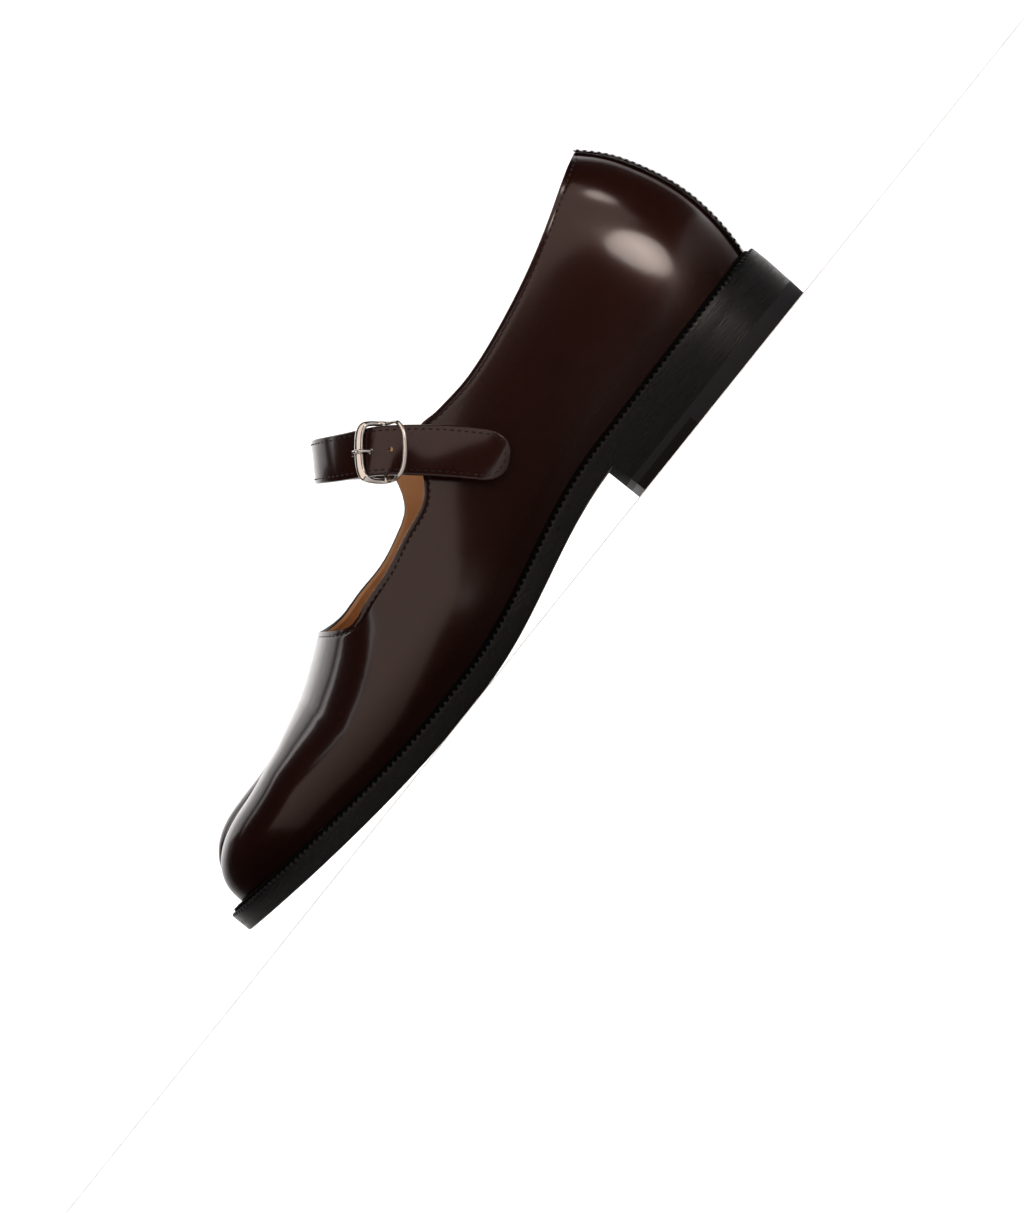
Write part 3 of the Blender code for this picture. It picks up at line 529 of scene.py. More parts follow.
flange = WALL + WELT_REACH - CLEFT_LEDGE + GAP
inside = WALL + INSOLE_GAP
bm = bmesh.new()
slab(bm, ((1, flange, welt_bottom), (1, flange, feather), (1, inside, feather),
          (1, inside, lambda at: feather(at) + INSOLE - INSOLE_BEVEL),
          (1, inside + INSOLE_BEVEL, lambda at: feather(at) + INSOLE)),
     end=root(1, WALL) - INSOLE_NOTCH / LENGTH, steps=(24, 60))
finish_piece("sock", bm, [lining], "insole")

# UPPER. Calf cut in vamp and quarters, lined, lasted over the foot's form and sewn to the welt, with one seam
# at the back and a split between the big toe and the others. The opening's edge is folded and sewn once
# round.

INSTEP = 0.048  # last above the feather line, at the front end of the throat
SWELL = 0.0024
HUMP_TURN = 0.9
FOLD_ROW = 0.0017  # the stitches' distance from the folded edge

# The section over each place: the ridge's height above the feather line as a share of the instep, and how
# full the section is across and upwards, where 1 is an ellipse and less is squarer.
Section = namedtuple("Section", "at ridge across upward swell")
SECTION = (
    Section(0.000, 2.254, 1.00, 1.00, 1.0),
    Section(0.174, 2.319, 1.00, 1.00, 1.0),
    Section(0.294, 2.320, 1.00, 1.00, 0.8),
    Section(0.362, 2.262, 1.00, 1.00, 0.5),
    Section(0.413, 2.144, 1.00, 1.00, 0.3),
    Section(0.450, 1.971, 0.99, 1.00, 0.2),
    Section(0.493, 1.781, 0.98, 1.00, 0.1),
    Section(0.529, 1.608, 0.96, 1.00, 0.0),
    Section(0.601, 1.308, 0.91, 0.99, 0.0),
    Section(0.672, 1.006, 0.85, 0.98, 0.0),
    Section(0.710, 0.883, 0.82, 0.97, 0.0),
    Section(0.758, 0.748, 0.79, 0.95, 0.0),
    Section(0.809, 0.656, 0.78, 0.95, 0.0),
    Section(0.857, 0.575, 0.78, 0.95, 0.0),
    Section(1.000, 0.400, 0.78, 0.95, 0.0),
)

# The lobes' own ridges, before their round fronts.
Lobes = namedtuple("Lobes", "at lateral medial")
LOBES = (
    Lobes(0.700, 0.912, 0.912),
    Lobes(0.740, 0.789, 0.798),
    Lobes(0.780, 0.686, 0.722),
    Lobes(0.801, 0.635, 0.690),
    Lobes(0.825, 0.596, 0.650),
    Lobes(0.848, 0.556, 0.615),
    Lobes(0.872, 0.519, 0.590),
    Lobes(0.908, 0.471, 0.550),
    Lobes(1.000, 0.360, 0.440),
)
LOBE_ACROSS, LOBE_UPWARD = 0.77, 0.77
LOBES_START = 0.700  # where the one ridge starts to part in two
RIDGE_TURN = 0.5
RIDGE_PLACE = 0.46  # of the way from the lobe's inner wall to its outer edge
WALL_SHARE = 0.6  # the most that the split's wall takes of the way to the lobe's ridge

# The opening's edge, as a share of the section's height. At the throat both sides meet on the ridge.
Topline = namedtuple("Topline", "at lateral medial")
TOPLINE = (
    Topline(0.000, 0.624, 0.624),
    Topline(0.031, 0.602, 0.602),
    Topline(0.089, 0.556, 0.556),
    Topline(0.143, 0.513, 0.513),
    Topline(0.217, 0.464, 0.464),
    Topline(0.280, 0.438, 0.438),
    Topline(0.343, 0.441, 0.441),
    Topline(0.372, 0.466, 0.470),
    Topline(0.392, 0.492, 0.495),
    Topline(0.410, 0.522, 0.565),
    Topline(0.434, 0.508, 0.645),
    Topline(0.456, 0.476, 0.665),
    Topline(0.468, 0.464, 0.650),
    Topline(0.478, 0.464, 0.606),
    Topline(0.492, 0.478, 0.572),
    Topline(0.521, 0.524, 0.594),
    Topline(0.567, 0.583, 0.667),
    Topline(0.613, 0.662, 0.780),
    Topline(0.643, 0.742, 0.865),
    Topline(0.672, 1.000, 1.000),
)

# The heel's back, seen from the side: how far it stands forward of the feather line, as a share of the heel
# width, against the height above the feather line as a share of the instep.
Back = namedtuple("Back", "at forward")
BACK = (
    Back(0.00, 0.000),
    Back(0.13, -0.026),
    Back(0.35, -0.054),
    Back(0.53, -0.062),
    Back(0.67, -0.057),
    Back(0.82, -0.041),
    Back(1.00, -0.009),
    Back(1.19, 0.040),
    Back(1.40, 0.131),
    Back(1.60, 0.230),
)
BACK_FADE = 0.30  # of the length, over which the back's curve fades out forwards

TOP, ACROSS, UPWARD, SWELLING = (curve(SECTION, name) for name in ("ridge", "across", "upward", "swell"))
LOBE = {LATERAL: curve(LOBES, "lateral"), MEDIAL: curve(LOBES, "medial")}
CUT = {LATERAL: curve(TOPLINE, "lateral"), MEDIAL: curve(TOPLINE, "medial")}
BACK_FORWARD = curve(BACK, "forward")


def last(side, at, turn, ledges=1.0, depth=0.0):
    """The last's surface: turn runs from 0 at the feather line to 1 on the ridge. Towards the split the ridge
    parts in two, each half's own ridge at RIDGE_TURN, and the surface between them sinks to the floor."""
    outer = outer_edge(side, at, ledges, depth)
    ridge = wall = middle = MIDDLE(at) * BALL_WIDTH
    split_at, split_start = root(ledges, depth), CLEFT_START - depth / LENGTH
    closed = at < split_at + 1e-6
    apart = ease((at - LOBES_START) / (split_at - LOBES_START))
    sunk = ease((at - split_start) / (split_at - split_start))
    high = INSTEP * TOP(at) - depth
    floor = high * (1 - sunk)
    ridge_turn = foot_turn = 1.0
    if apart > 0:
        tip = TIPS[side]
        closing = round_off((at - tip.ridge_start) / (front(side, ledges, depth) - tip.ridge_start),
                            tip.ridge_square)
        high += apart * ((INSTEP * LOBE[side](at) - depth) * closing - high)
        if closed:
            wall = middle + side * cleft_half(ledges, depth)
        else:
            wall = inner_edge(side, at, ledges, depth)
        ridge += apart * (wall + RIDGE_PLACE * (outer - wall) - middle)
        if closed:
            wall = middle + side * min(abs(wall - middle), WALL_SHARE * abs(ridge - middle))
        # The turns of the ridge and of the split's foot, and the turn asked for, slid along to meet them.
        ridge_turn = 1 - (1 - RIDGE_TURN) * apart
        foot_turn = 1 - (1 - HUMP_TURN) * apart
        slid = float(np.interp(turn, (0.0, RIDGE_TURN, HUMP_TURN, 1.0), (0.0, ridge_turn, foot_turn, 1.0)))
        turn += ease(4 * apart) * (slid - turn)
    if turn <= ridge_turn:
        angle = turn / ridge_turn * pi / 2
        narrow = min(1.0, 3 * abs(outer - ridge) / HEEL_WIDTH)
        swelling = side * SWELL * SWELLING(at) * sin(2 * angle) * narrow
        across = ridge + (outer - ridge) * cos(angle) ** ACROSS(at) + swelling
        rise = high * sin(angle) ** UPWARD(at)
    else:
        share = min((turn - ridge_turn) / (foot_turn - ridge_turn), 1.0)
        way = sin(share * pi / 2) ** LOBE_ACROSS
        soft = (1 + cos(pi * way)) / 2
        fall = soft + sunk * (max(cos(share * pi / 2), 0.0) ** LOBE_UPWARD - soft)
        across = ridge + (wall - ridge) * way
        if turn > foot_turn and closed:
            across += (middle - wall) * (turn - foot_turn) / (1 - foot_turn)
        rise = floor + (high - floor) * fall
    forward = BACK_FORWARD(rise / INSTEP) * HEEL_WIDTH / LENGTH * (1 - ease(at / BACK_FADE))
    return place(at + forward, across, feather(at) + rise)


def cut_turn(side, at):
    """How far round the section the opening's edge lies."""
    if at >= THROAT:
        return 1.0
    return float(np.arcsin(min(CUT[side](at), 1.0) ** (1 / UPWARD(at)))) / (pi / 2)


def edge_run(side, inset=0.0):
    """Points along the opening's folded edge, from the back to the throat, moved in from the edge, with the
    surface's outward directions there."""
    shares = span(rear(1), THROAT_SIDE, 240) + span(THROAT_SIDE, THROAT, 40, crowd_end=True) + [THROAT]
    edge = [last(side, at, cut_turn(side, at)) for at in shares]
    below = [last(side, at, cut_turn(side, at) - 0.03) for at in shares]
    points, outs = [], []
    for i, here in enumerate(edge):
        ahead = edge[min(i + 1, len(edge) - 1)] - edge[max(i - 1, 0)]
        out = (ahead.cross(here - below[i]) * side).normalized()
        inward = out.cross(ahead).normalized()
        inward *= 1 if inward.dot(below[i] - here) > 0 else -1
        points.append(here + inward * inset)
        outs.append(out)
    return points, outs


def nearest(points):
    """Measure the distance from a place to a run of points."""
    run = np.array([tuple(point) for point in points])
    return lambda spot: float(np.sqrt(((run - np.array(tuple(spot))) ** 2).sum(axis=1).min()))


# Soft creases in the vamp and the quarters: side, place along, turn up the section, slant, half length, half
# width and depth. Each is a trough with a low ridge on either side.
Crease = namedtuple("Crease", "side at turn slant length width depth")
CREASES = (
    Crease(LATERAL, 0.735, 0.40, 1.15, 0.016, 0.0040, 0.00007),
    Crease(LATERAL, 0.700, 0.34, 1.25, 0.017, 0.0045, 0.00006),
    Crease(LATERAL, 0.560, 0.28, 0.45, 0.020, 0.0050, 0.00022),
    Crease(LATERAL, 0.500, 0.30, 0.20, 0.018, 0.0056, 0.00016),
    Crease(MEDIAL, 0.735, 0.40, 1.15, 0.016, 0.0040, 0.00007),
    Crease(MEDIAL, 0.700, 0.34, 1.25, 0.017, 0.0045, 0.00006),
    Crease(MEDIAL, 0.480, 0.30, 0.25, 0.020, 0.0052, 0.00020),
)
SECTION_RUN = 0.070  # length round the section, from the feather line to the ridge
CREASE_RIDGE, RIDGE_OFF = 0.45, 1.9  # a ridge's height in trough depths, and its distance in half widths
STITCH_TROUGH, TROUGH_HALF = 0.00016, 0.0005
EDGE_BULGE, BULGE_HALF = 0.00006, 0.0008
UNEVEN = ((0.00007, 34), (0.00002, 110))  # the leather's own unevenness: heights, and bumps over a metre
PROBE = 0.001


def creased(side, at, turn):
    """How far the creases move the surface out."""
    moved = 0.0
    for crease in CREASES:
        if crease.side == side:
            x, y = (at - crease.at) * LENGTH, (turn - crease.turn) * SECTION_RUN
            along = x * cos(crease.slant) + y * sin(crease.slant)
            off = (y * cos(crease.slant) - x * sin(crease.slant)) / crease.width
            ridges = CREASE_RIDGE * (exp(-(off - RIDGE_OFF) ** 2) + exp(-(off + RIDGE_OFF) ** 2))
            moved += crease.depth * exp(-(along / crease.length) ** 2) * (ridges - exp(-off ** 2))
    return moved


edge_distance = {side: nearest(edge_run(side)[0]) for side in SIDES}


def leather(side, at, turn):
    """The upper's outer face, with its creases and the row that the stitches pull down."""
    here = last(side, at, turn)
    out = (here - last(side, at, turn, 1, PROBE)) / PROBE
    # Deep in the split the surface has no clear outward direction.
    if not 0.2 <= out.length <= 1.5:
        return here
    uneven = sum(height * noise.noise(here * bumps) for height, bumps in UNEVEN)
    moved = creased(side, at, turn) + uneven * min(1.0, turn * 8)
    if at < THROAT + 0.02:
        off = min(edge_distance[side](here), edge_distance[-side](here) if at > THROAT - 0.01 else 1.0)
        moved -= STITCH_TROUGH * exp(-((off - FOLD_ROW) / TROUGH_HALF) ** 2)
        moved += EDGE_BULGE * exp(-(off / BULGE_HALF) ** 2)
    return here + out * moved


# Aniline calf, glazed and polished: a very dark red-brown under a clear hard shine. The grain is almost
# pressed flat, at about half a millimetre, so it only breaks the edges of the reflections. On the upper, the
# colour is darkened towards the welt as painted shade, and the coat is made thinner there, which dims the
# reflections low on the sides.
def glazed_calf(name, painted_shade=False):
    made, shader = new_material(name, "#220c09", 0.26, Coat_Weight=0.75, Coat_Roughness=0.125,
                                Specular_IOR_Level=0.1, Specular_Tint=colour("#ffc9bb"))
    dye = tint(made, shader, noise_on(made, 45.0, 4.0), "#1e0b08", "#2c110c")
    where = add(made, "ShaderNodeTexCoord", {}, {})
    grain = add(made, "ShaderNodeTexVoronoi", {"Scale": 1700.0}, {"Vector": where.outputs["Object"]})
    fine = relief(made, shader, grain.outputs["Distance"], 0.05, 0.00004)
    pull = relief(made, shader, noise_on(made, 260.0, 3.0), 0.09, 0.00012, fine)
    made.node_tree.links.new(pull, shader.inputs["Coat Normal"])
    # Painted shade: from about 22 mm above the welt down to it, the base colour is mixed more and more
    # towards a darker brown, and the coat thins.
    if painted_shade:
        height = add(made, "ShaderNodeAttribute", {"attribute_name": ABOVE_WELT}, {})
        limits = {"From Min": 0.001, "From Max": 0.022, "To Min": 0.06, "To Max": 0.75}
        polish = add(made, "ShaderNodeMapRange", {"interpolation_type": "SMOOTHSTEP", **limits},
                     {"Value": height.outputs["Fac"]})
        dark = add(made, "ShaderNodeMix", {"data_type": "RGBA", 6: colour("#130604")},
                   {0: polish.outputs[0], 7: dye})
        made.node_tree.links.new(polish.outputs[0], shader.inputs["Coat Weight"])
        made.node_tree.links.new(dark.outputs[2], shader.inputs["Base Color"])
    return made


ABOVE_WELT = "height above the welt"
upper_leather = glazed_calf("glazed aniline calf")
calf_with_painted_shade = glazed_calf("glazed aniline calf, burnished at the welt", painted_shade=True)
# The same calf's folded edge, a little duller from the fold.
folded_edge, shader = new_material("folded calf edge", "#150a08", 0.45)

outer_turns = [HUMP_TURN * k / 40 for k in range(41)]
outer_turns += [0.912, 0.924, 0.936, 0.948, 0.958, 0.966, 0.973, 0.980, 0.988, 0.994, 1.0]
inner_turns = [HUMP_TURN * k / 22 for k in range(23)] + [0.94, 0.97, 1.0]
FOLD_STEPS, FOLD_HEIGHT = 6, 0.0007
bm = bmesh.new()
for side in SIDES:
    shares, at_throat, at_root = stations(side, 1, 0, UPPER_STEPS)
    outside = [[leather(side, at, turn * cut_turn(side, at)) for turn in outer_turns] for at in shares]
    shares, _, _ = stations(side, 1, WALL, UPPER_STEPS)
    within = [[last(side, at, turn * cut_turn(side, at), 1, WALL) for turn in inner_turns] for at in shares]
    lay(bm, outside, 0)
    lay(bm, within, 1)
    lay(bm, [[row[0] for row in outside], [row[0] for row in within]], 2)
    lay(bm, [[row[-1] for row in outside[at_root:]], [row[-1] for row in within[at_root:]]], 0)
    # The folded edge, rounded over from the outer face to the lining.
    fold = []
    for step in range(FOLD_STEPS + 1):
        share = step / FOLD_STEPS
        height = FOLD_HEIGHT * sin(pi * share) if step % FOLD_STEPS else 0.0
        row = []
        for out_row, in_row in zip(outside[:at_throat + 1], within[:at_throat + 1]):
            up = (out_row[-1] - out_row[-4]).normalized() * height
            row.append(out_row[-1].lerp(in_row[-1], share) + up)
        fold.append(row)
    lay(bm, fold[:5], 2)
    lay(bm, fold[4:], 1)
upper = finish_piece("calf_upper", bm, [calf_with_painted_shade, lining, folded_edge], "upper")
heights = upper.data.attributes.new(ABOVE_WELT, "FLOAT", "POINT")
for vertex, height in zip(upper.data.vertices, heights.data):
    height.value = vertex.co.z - feather(vertex.co.x / LENGTH + ORIGIN_SHARE)

# Linen thread, waxed, dyed dark brown; its colour is set darker still, near black, as painted shade standing
# in for the shadow in the stitch holes. Each stitch is a short bar, round and sunk at its ends.
# Painted shade: the thread's colour is darkened to stand for the shadow in the stitch holes.
thread, shader = new_material("waxed brown thread", "#0c0605", 0.6)
STITCH_PITCH = 0.0024
STITCH = 0.0016
THREAD = 0.00062
THREAD_FLAT = 0.8


def sew(name, runs):
    """Sew rows of stitches. A run is its points and the surface's outward directions at them."""
    bm = bmesh.new()
    for points, outs in runs:
        points, outs = np.array(points), np.array(outs)
        measured = lengths_along(points)
        count = max(int(measured[-1] / STITCH_PITCH), 1)
        for k in range(count):
            s = (k + 0.5) * measured[-1] / count
            here, before, after = (between(t, measured, points) for t in (s, s - STITCH / 2, s + STITCH / 2))
            along = (after - before).normalized()
            beside = between(s, measured, outs).cross(along).normalized()
            turn = Matrix((along, beside, along.cross(beside))).transposed().to_4x4()
            shape = Matrix.Diagonal((STITCH / 2, THREAD / 2, THREAD / 2 * THREAD_FLAT, 1.0))
            bmesh.ops.create_icosphere(bm, subdivisions=1, radius=1.0,
                                       matrix=Matrix.Translation(here) @ turn @ shape)
    finish_piece(name, bm, [thread], sharp=80)


# The edge's stitches stop at the back strip.
STITCHES_STOP = 0.0145
runs = []
for side in SIDES:
    points, outs = edge_run(side, FOLD_ROW)
    start = next(i for i, point in enumerate(points) if abs(point.y) > STITCHES_STOP)
    runs.append((points[start:], outs[start:]))
sew("opening_stitches", runs)

# BACK STRIP. A strip of the same calf, skived to 1 mm, glued over the back seam and sewn down each side.

BACK_STRIP = 0.0010
BACK_STRIP_SHARE = 0.020
STITCH_SUNK = 0.00018  # how deep these stitches lie in the strip
PARED = 0.45  # how far the strip's outer face comes down at its edge
strip_end = max(at for at in stations(LATERAL, 1)[0] if at <= BACK_STRIP_SHARE)
strip_turns = [0.985 * k / 50 for k in range(51)] + [0.993, 1.0]
runs = []
bm = bmesh.new()
for side in SIDES:
    outside, within = (
        [[last(side, at, turn * cut_turn(side, at), 1, depth) for turn in strip_turns]
         for at in span(rear(1, depth), strip_end, 18, crowd_start=True) + [strip_end]]
        for depth in (-GAP - BACK_STRIP, -GAP))
    outside[-1] = [high.lerp(low, PARED) for high, low in zip(outside[-1], within[-1])]
    lay(bm, outside)
    lay(bm, within)
    for k in (0, -1):
        lay(bm, [[row[k] for row in outside], [row[k] for row in within]])
    lay(bm, [outside[-1], within[-1]])
    points, outs = [], []
    for j in range(1, len(strip_turns) - 1):
        column = [row[j] for row in outside][::-1]
        inward = lengths_along(column)
        i = min(max(int(np.searchsorted(inward, FOLD_ROW)), 1), len(column) - 1)
        out = (column[i - 1] - column[i]).cross(outside[-2][j + 1] - outside[-2][j - 1]) * side
        outs.append(out.normalized())
        points.append(between(FOLD_ROW, inward, column) - outs[-1] * STITCH_SUNK)
    runs.append((points, outs))
finish_piece("back_seam_strip", bm, [upper_leather], "back_strip")
sew("back_strip_stitches", runs)

# STRAP. Two layers of calf, sewn round, 2.2 mm thick. Its root lies on the medial quarter, sewn down by a
# cross row, and its tail runs over the lateral quarter through the buckle, punched with three holes.

STRAP_WIDTH = 0.0176
STRAP = 0.0022
STRAP_TIP = 0.0092
STRAP_LIFT = 0.0009
BUCKLE_SHARE = 0.697
BUCKLE_HALF = 0.0066
BAR = 0.0014
FLAT_BAR = 0.0030
RAIL = 0.0021
BAR_HEIGHT = 0.0024
TAB = 0.0009
TAB_LENGTH = 0.0250
TAB_LIFT = 0.0005
PRONG = 0.0012
HOLE = 0.0024
HOLE_PITCH = 0.0064
TIP_SQUARE = 2.3  # how square the tail's round end is
BLUNT = 0.12  # the least width of the tail's end, as a share
PUNCH = 0.0009  # radius of the punched holes
PUNCH_OVER = 0.003

# The strap's middle line: how far round the last, from -1 at the medial feather line over 0 on the ridge to 1
# at the lateral one, the place along, and the strap's width as a share of its widest.
Path = namedtuple("Path", "around at width")
STRAP_PATH = (
    Path(-0.78, 0.403, 1.00),
    Path(-0.60, 0.443, 0.97),
    Path(-0.43, 0.476, 0.90),
    Path(-0.22, 0.502, 0.87),
    Path(0.00, 0.512, 0.87),
    Path(0.22, 0.505, 0.89),
    Path(0.43, 0.481, 0.93),
    Path(0.60, 0.447, 0.97),
    Path(0.75, 0.410, 1.00),
    Path(0.875, 0.374, 0.98),
)
STRAP_ALONG, STRAP_WIDE = curve(STRAP_PATH, "at"), curve(STRAP_PATH, "width")


class StrapLine:
    """The strap's middle line on the last, measured along its length, with its own directions."""

    def __init__(self):
        self.around = np.linspace(STRAP_PATH[0].around, STRAP_PATH[-1].around, 321)
        self.points = np.array([self.on_last(a, STRAP_ALONG(a)) for a in self.around])
        self.measured = lengths_along(self.points)
        self.length = float(self.measured[-1])
        self.buckle = BUCKLE_SHARE * self.length

    @staticmethod
    def on_last(around, at):
        return last(LATERAL if around >= 0 else MEDIAL, at, 1 - abs(around))

    def lift(self, s):
        """How far the strap's underside stands off the last, over the tab and the buckle's middle bar."""
        double = TAB_LIFT + 2 * GAP + 2 * TAB
        over_tab = STRAP_LIFT + (double - STRAP_LIFT) * ease((s - self.buckle + TAB_LENGTH) / TAB_LENGTH)
        hump = BAR_HEIGHT + BAR / 2 + TAB + 2 * GAP - double
        return over_tab + hump * exp(-((s - self.buckle) / 0.008) ** 2)

    def width(self, s):
        return STRAP_WIDTH * STRAP_WIDE(float(np.interp(s, self.measured, self.around)))

    def point(self, s, across=0.0, height=0.0):
        """A point by its length along, its place across, and its height over the last."""
        s = min(max(s, 0.0), self.length)
        here, before, after = (between(min(max(t, 0.0), self.length), self.measured, self.points)
                               for t in (s, s - 0.002, s + 0.002))
        along = (after - before).normalized()
        around = float(np.interp(s, self.measured, self.around))
        at = STRAP_ALONG(around)
        forward = self.on_last(around, at + 0.01) - self.on_last(around, at - 0.01)
        out = forward.cross(along).normalized()
        return here + along.cross(out) * across + out * height


def half_width(s, inset=0.0):
    """Half the strap's width at a length along it, moved in from its edge."""
    share = 1 - min(max(line.length - inset - s, 0.0) / (STRAP_TIP - inset), 1.0)
    return (line.width(s) / 2 - inset) * max(round_off(share, TIP_SQUARE), 0.0 if inset else BLUNT)


def strap_run(lengths, across):
    """Points on the strap's upper face, and the directions out of it."""
    points = [line.point(s, y, line.lift(s) + STRAP) for s, y in zip(lengths, across)]
    roots = [line.point(s, y, line.lift(s)) for s, y in zip(lengths, across)]
    return points, [(point - low).normalized() for point, low in zip(points, roots)]


line = StrapLine()
prong_hole = line.buckle - BUCKLE_HALF + FLAT_BAR / 2 + HOLE / 2 + GAP
ROUND = 0.0007  # radius of the strap's pared edges
PAD, PULL = 0.00025, 0.00018  # the upper face's bulge, and how far the stitches pull it down
FACE_SHARES = (0.93, 0.86, 0.79, 0.60, 0.30, 0.0, -0.30, -0.60, -0.79, -0.86, -0.93)
spots = [line.length * i / 150 for i in range(150)]
spots = [s for s in spots if s < line.length - STRAP_TIP]
spots += [line.length - STRAP_TIP * (1 - sin(pi / 2 * k / 16)) for k in range(17)]
corner = [(-cos(a), -sin(a)) for a in (0, pi / 6, pi / 3, pi / 2)]
profile = [(-1, y, z) for y, z in corner] + [(1, -y, z) for y, z in corner[::-1]]
profile = [(sign, y, z, 0) for sign, y, z in profile] + [(sign, y, -z, 1) for sign, y, z in profile[::-1]]
rows = []
for s in spots:
    low, high = line.lift(s), line.lift(s) + STRAP
    half = half_width(s)
    round_here = min(ROUND, half * 0.6)
    row = []
    for sign, y, z, top in profile:
        height = (high - ROUND if top else low + ROUND) + z * ROUND
        row.append(line.point(s, sign * (half - round_here) + y * round_here, height))
        if sign == 1 and y == 0 and top:
            for share in FACE_SHARES:
                across = share * (half - round_here)
                sewn = exp(-((half - abs(across) - FOLD_ROW) / 0.0006) ** 2)
                row.append(line.point(s, across, high + PAD * (1 - share * share) - PULL * sewn))
    rows.append(row + row[:1])
bm = bmesh.new()
lay(bm, rows)
bmesh.ops.remove_doubles(bm, verts=bm.verts, dist=1e-6)
bmesh.ops.holes_fill(bm, edges=[edge for edge in bm.edges if edge.is_boundary], sides=0)
strap = finish_piece("calf_strap", bm, [upper_leather], "strap")

# The punched holes, cut out of the strap with round bars.
bars = []
for s in (prong_hole - HOLE_PITCH, prong_hole, prong_hole + HOLE_PITCH):
    start = line.point(s, 0, line.lift(s) - PUNCH_OVER)
    end = line.point(s, 0, line.lift(s) + STRAP + PUNCH_OVER)
    turn = Vector((0, 0, 1)).rotation_difference(end - start).to_matrix().to_4x4()
    bm = bmesh.new()
    bmesh.ops.create_cone(bm, cap_ends=True, segments=20, radius1=PUNCH, radius2=PUNCH,
                          depth=(end - start).length, matrix=Matrix.Translation((start + end) / 2) @ turn)
    mesh = bpy.data.meshes.new("punch")
    bm.to_mesh(mesh)
    bm.free()
    bar = bpy.data.objects.new("punch", mesh)
    bpy.context.scene.collection.objects.link(bar)
    modifier = strap.modifiers.new("punch", "BOOLEAN")
    modifier.operation, modifier.object, modifier.solver = "DIFFERENCE", bar, "EXACT"
    bars.append(bar)
punched = bpy.data.meshes.new_from_object(strap.evaluated_get(bpy.context.evaluated_depsgraph_get()))
strap.modifiers.clear()
strap.data = punched
for bar in bars:
    bpy.data.objects.remove(bar, do_unlink=True)

# Two rows along the strap, closing round its tail, and a cross row that sews the root down.
ROOT_START = 0.004
TAIL_TURN = 0.0004
last_stitch = line.length - FOLD_ROW
runs = []
for side in SIDES:
    lengths = list(np.linspace(ROOT_START, last_stitch - TAIL_TURN, 200))
    lengths += list(last_stitch - TAIL_TURN * (1 - np.linspace(0, 1, 8)[1:]) ** 2)
    runs.append(strap_run(lengths, [side * half_width(s, FOLD_ROW) for s in lengths]))
runs.append(strap_run([ROOT_START] * 21, [half_width(ROOT_START, FOLD_ROW) * y / 10 for y in range(-10, 11)]))
sew("strap_stitches", runs)

# BUCKLE. A cast and polished frame, nickel plated, with a flat front bar, a thin keeper bar and a middle bar,
# and a wire prong hooked round that. A calf tab, sewn to the quarter, holds the middle bar.

# Nickel plate, polished: warm silver, nearly a mirror, with faint polishing marks.
nickel, shader = new_material("polished nickel plate", "#d9d6d0", 0.13, Metallic=1.0)
dull(nickel, shader, noise_on(nickel, 900.0, 2.0), 0.08, 0.20)


def tube(bm, path, wide, high, sides, up, closed=False):
    """Sweep an oval along a path. Wide and high are its half sizes, each one number or one for each point,
    and up is the high side's direction."""
    rings = []
    for i, point in enumerate(path):
        before = path[i - 1] if closed or i else path[i]
        after = path[(i + 1) % len(path)] if closed or i < len(path) - 1 else path[i]
        along = (after - before).normalized()
        beside = along.cross(up).normalized()
        top = beside.cross(along)
        a, b = (size[i] if hasattr(size, "__len__") else size for size in (wide, high))
        rings.append([point + beside * a * cos(2 * pi * k / sides) + top * b * sin(2 * pi * k / sides)
                      for k in range(sides + 1)])
    lay(bm, rings + rings[:1] if closed else rings)
    bmesh.ops.remove_doubles(bm, verts=bm.verts, dist=1e-6)
    if not closed:
        bmesh.ops.holes_fill(bm, edges=[edge for edge in bm.edges if edge.is_boundary], sides=0)


KEEPER_RAIL = 0.0013
KEEPER_BAR = 0.0017
KEEPER_THICKER = 0.00012
FRAME_SQUARE = 5.0  # how square the frame's corners are
FRONT_BOW, KEEPER_BOW, HIGH_BOW = -0.0005, 0.0011, 0.0004
BAR_START = 0.6  # of the way from the middle bar to an end bar, where the rails widen into it
DIP_START = 0.86

out = (line.point(line.buckle, 0, 1) - line.point(line.buckle, 0, 0)).normalized()
rail_across = line.width(line.buckle + BUCKLE_HALF) / 2 + GAP + RAIL / 2
front_s, keeper_s = line.buckle - BUCKLE_HALF, line.buckle + BUCKLE_HALF
front_high, keeper_high = (line.lift(s) + STRAP + GAP + BAR / 2 for s in (front_s, keeper_s))
path, wide, thick = [], [], []
for k in range(160):
    # A rounded rectangle, walked once round from the middle of the front bar.
    turn = 2 * pi * k / 160
    x, y = -cos(turn), sin(turn)
    stretch = (abs(x) ** FRAME_SQUARE + abs(y) ** FRAME_SQUARE) ** (-1 / FRAME_SQUARE)
    x, y = x * stretch, y * stretch
    s = line.buckle + BUCKLE_HALF * x + (KEEPER_BOW if x > 0 else FRONT_BOW) * abs(x) ** 6 * (1 - y * y)
    share = (x + 1) / 2
    high = front_high + (keeper_high - front_high) * share
    # The side rails dip to the middle bar; the end bars bow a little over the strap.
    dip = max(0.0, abs(y) - DIP_START) / (1 - DIP_START) * max(0.0, 1 - x * x) ** 2
    high = high * (1 - dip) + BAR_HEIGHT * dip + HIGH_BOW * (1 - y * y)
    path.append(line.point(s, y * rail_across, high))
    rail = RAIL + (KEEPER_RAIL - RAIL) * share
    at_front, at_keeper = (ease((away - BAR_START) / (1 - BAR_START)) for away in (-x, x))
    wide.append((rail + (FLAT_BAR - rail) * at_front + (KEEPER_BAR - rail) * at_keeper) / 2)
    thick.append(BAR / 2 + KEEPER_THICKER * at_keeper)
bm = bmesh.new()
tube(bm, path, wide, thick, 16, out, closed=True)
bar = [line.point(line.buckle, y * rail_across, BAR_HEIGHT) for y in (-1, -0.5, 0, 0.5, 1)]
tube(bm, bar, BAR / 2, BAR / 2, 16, out)
finish_piece("nickel_frame", bm, [nickel], "buckle_frame")

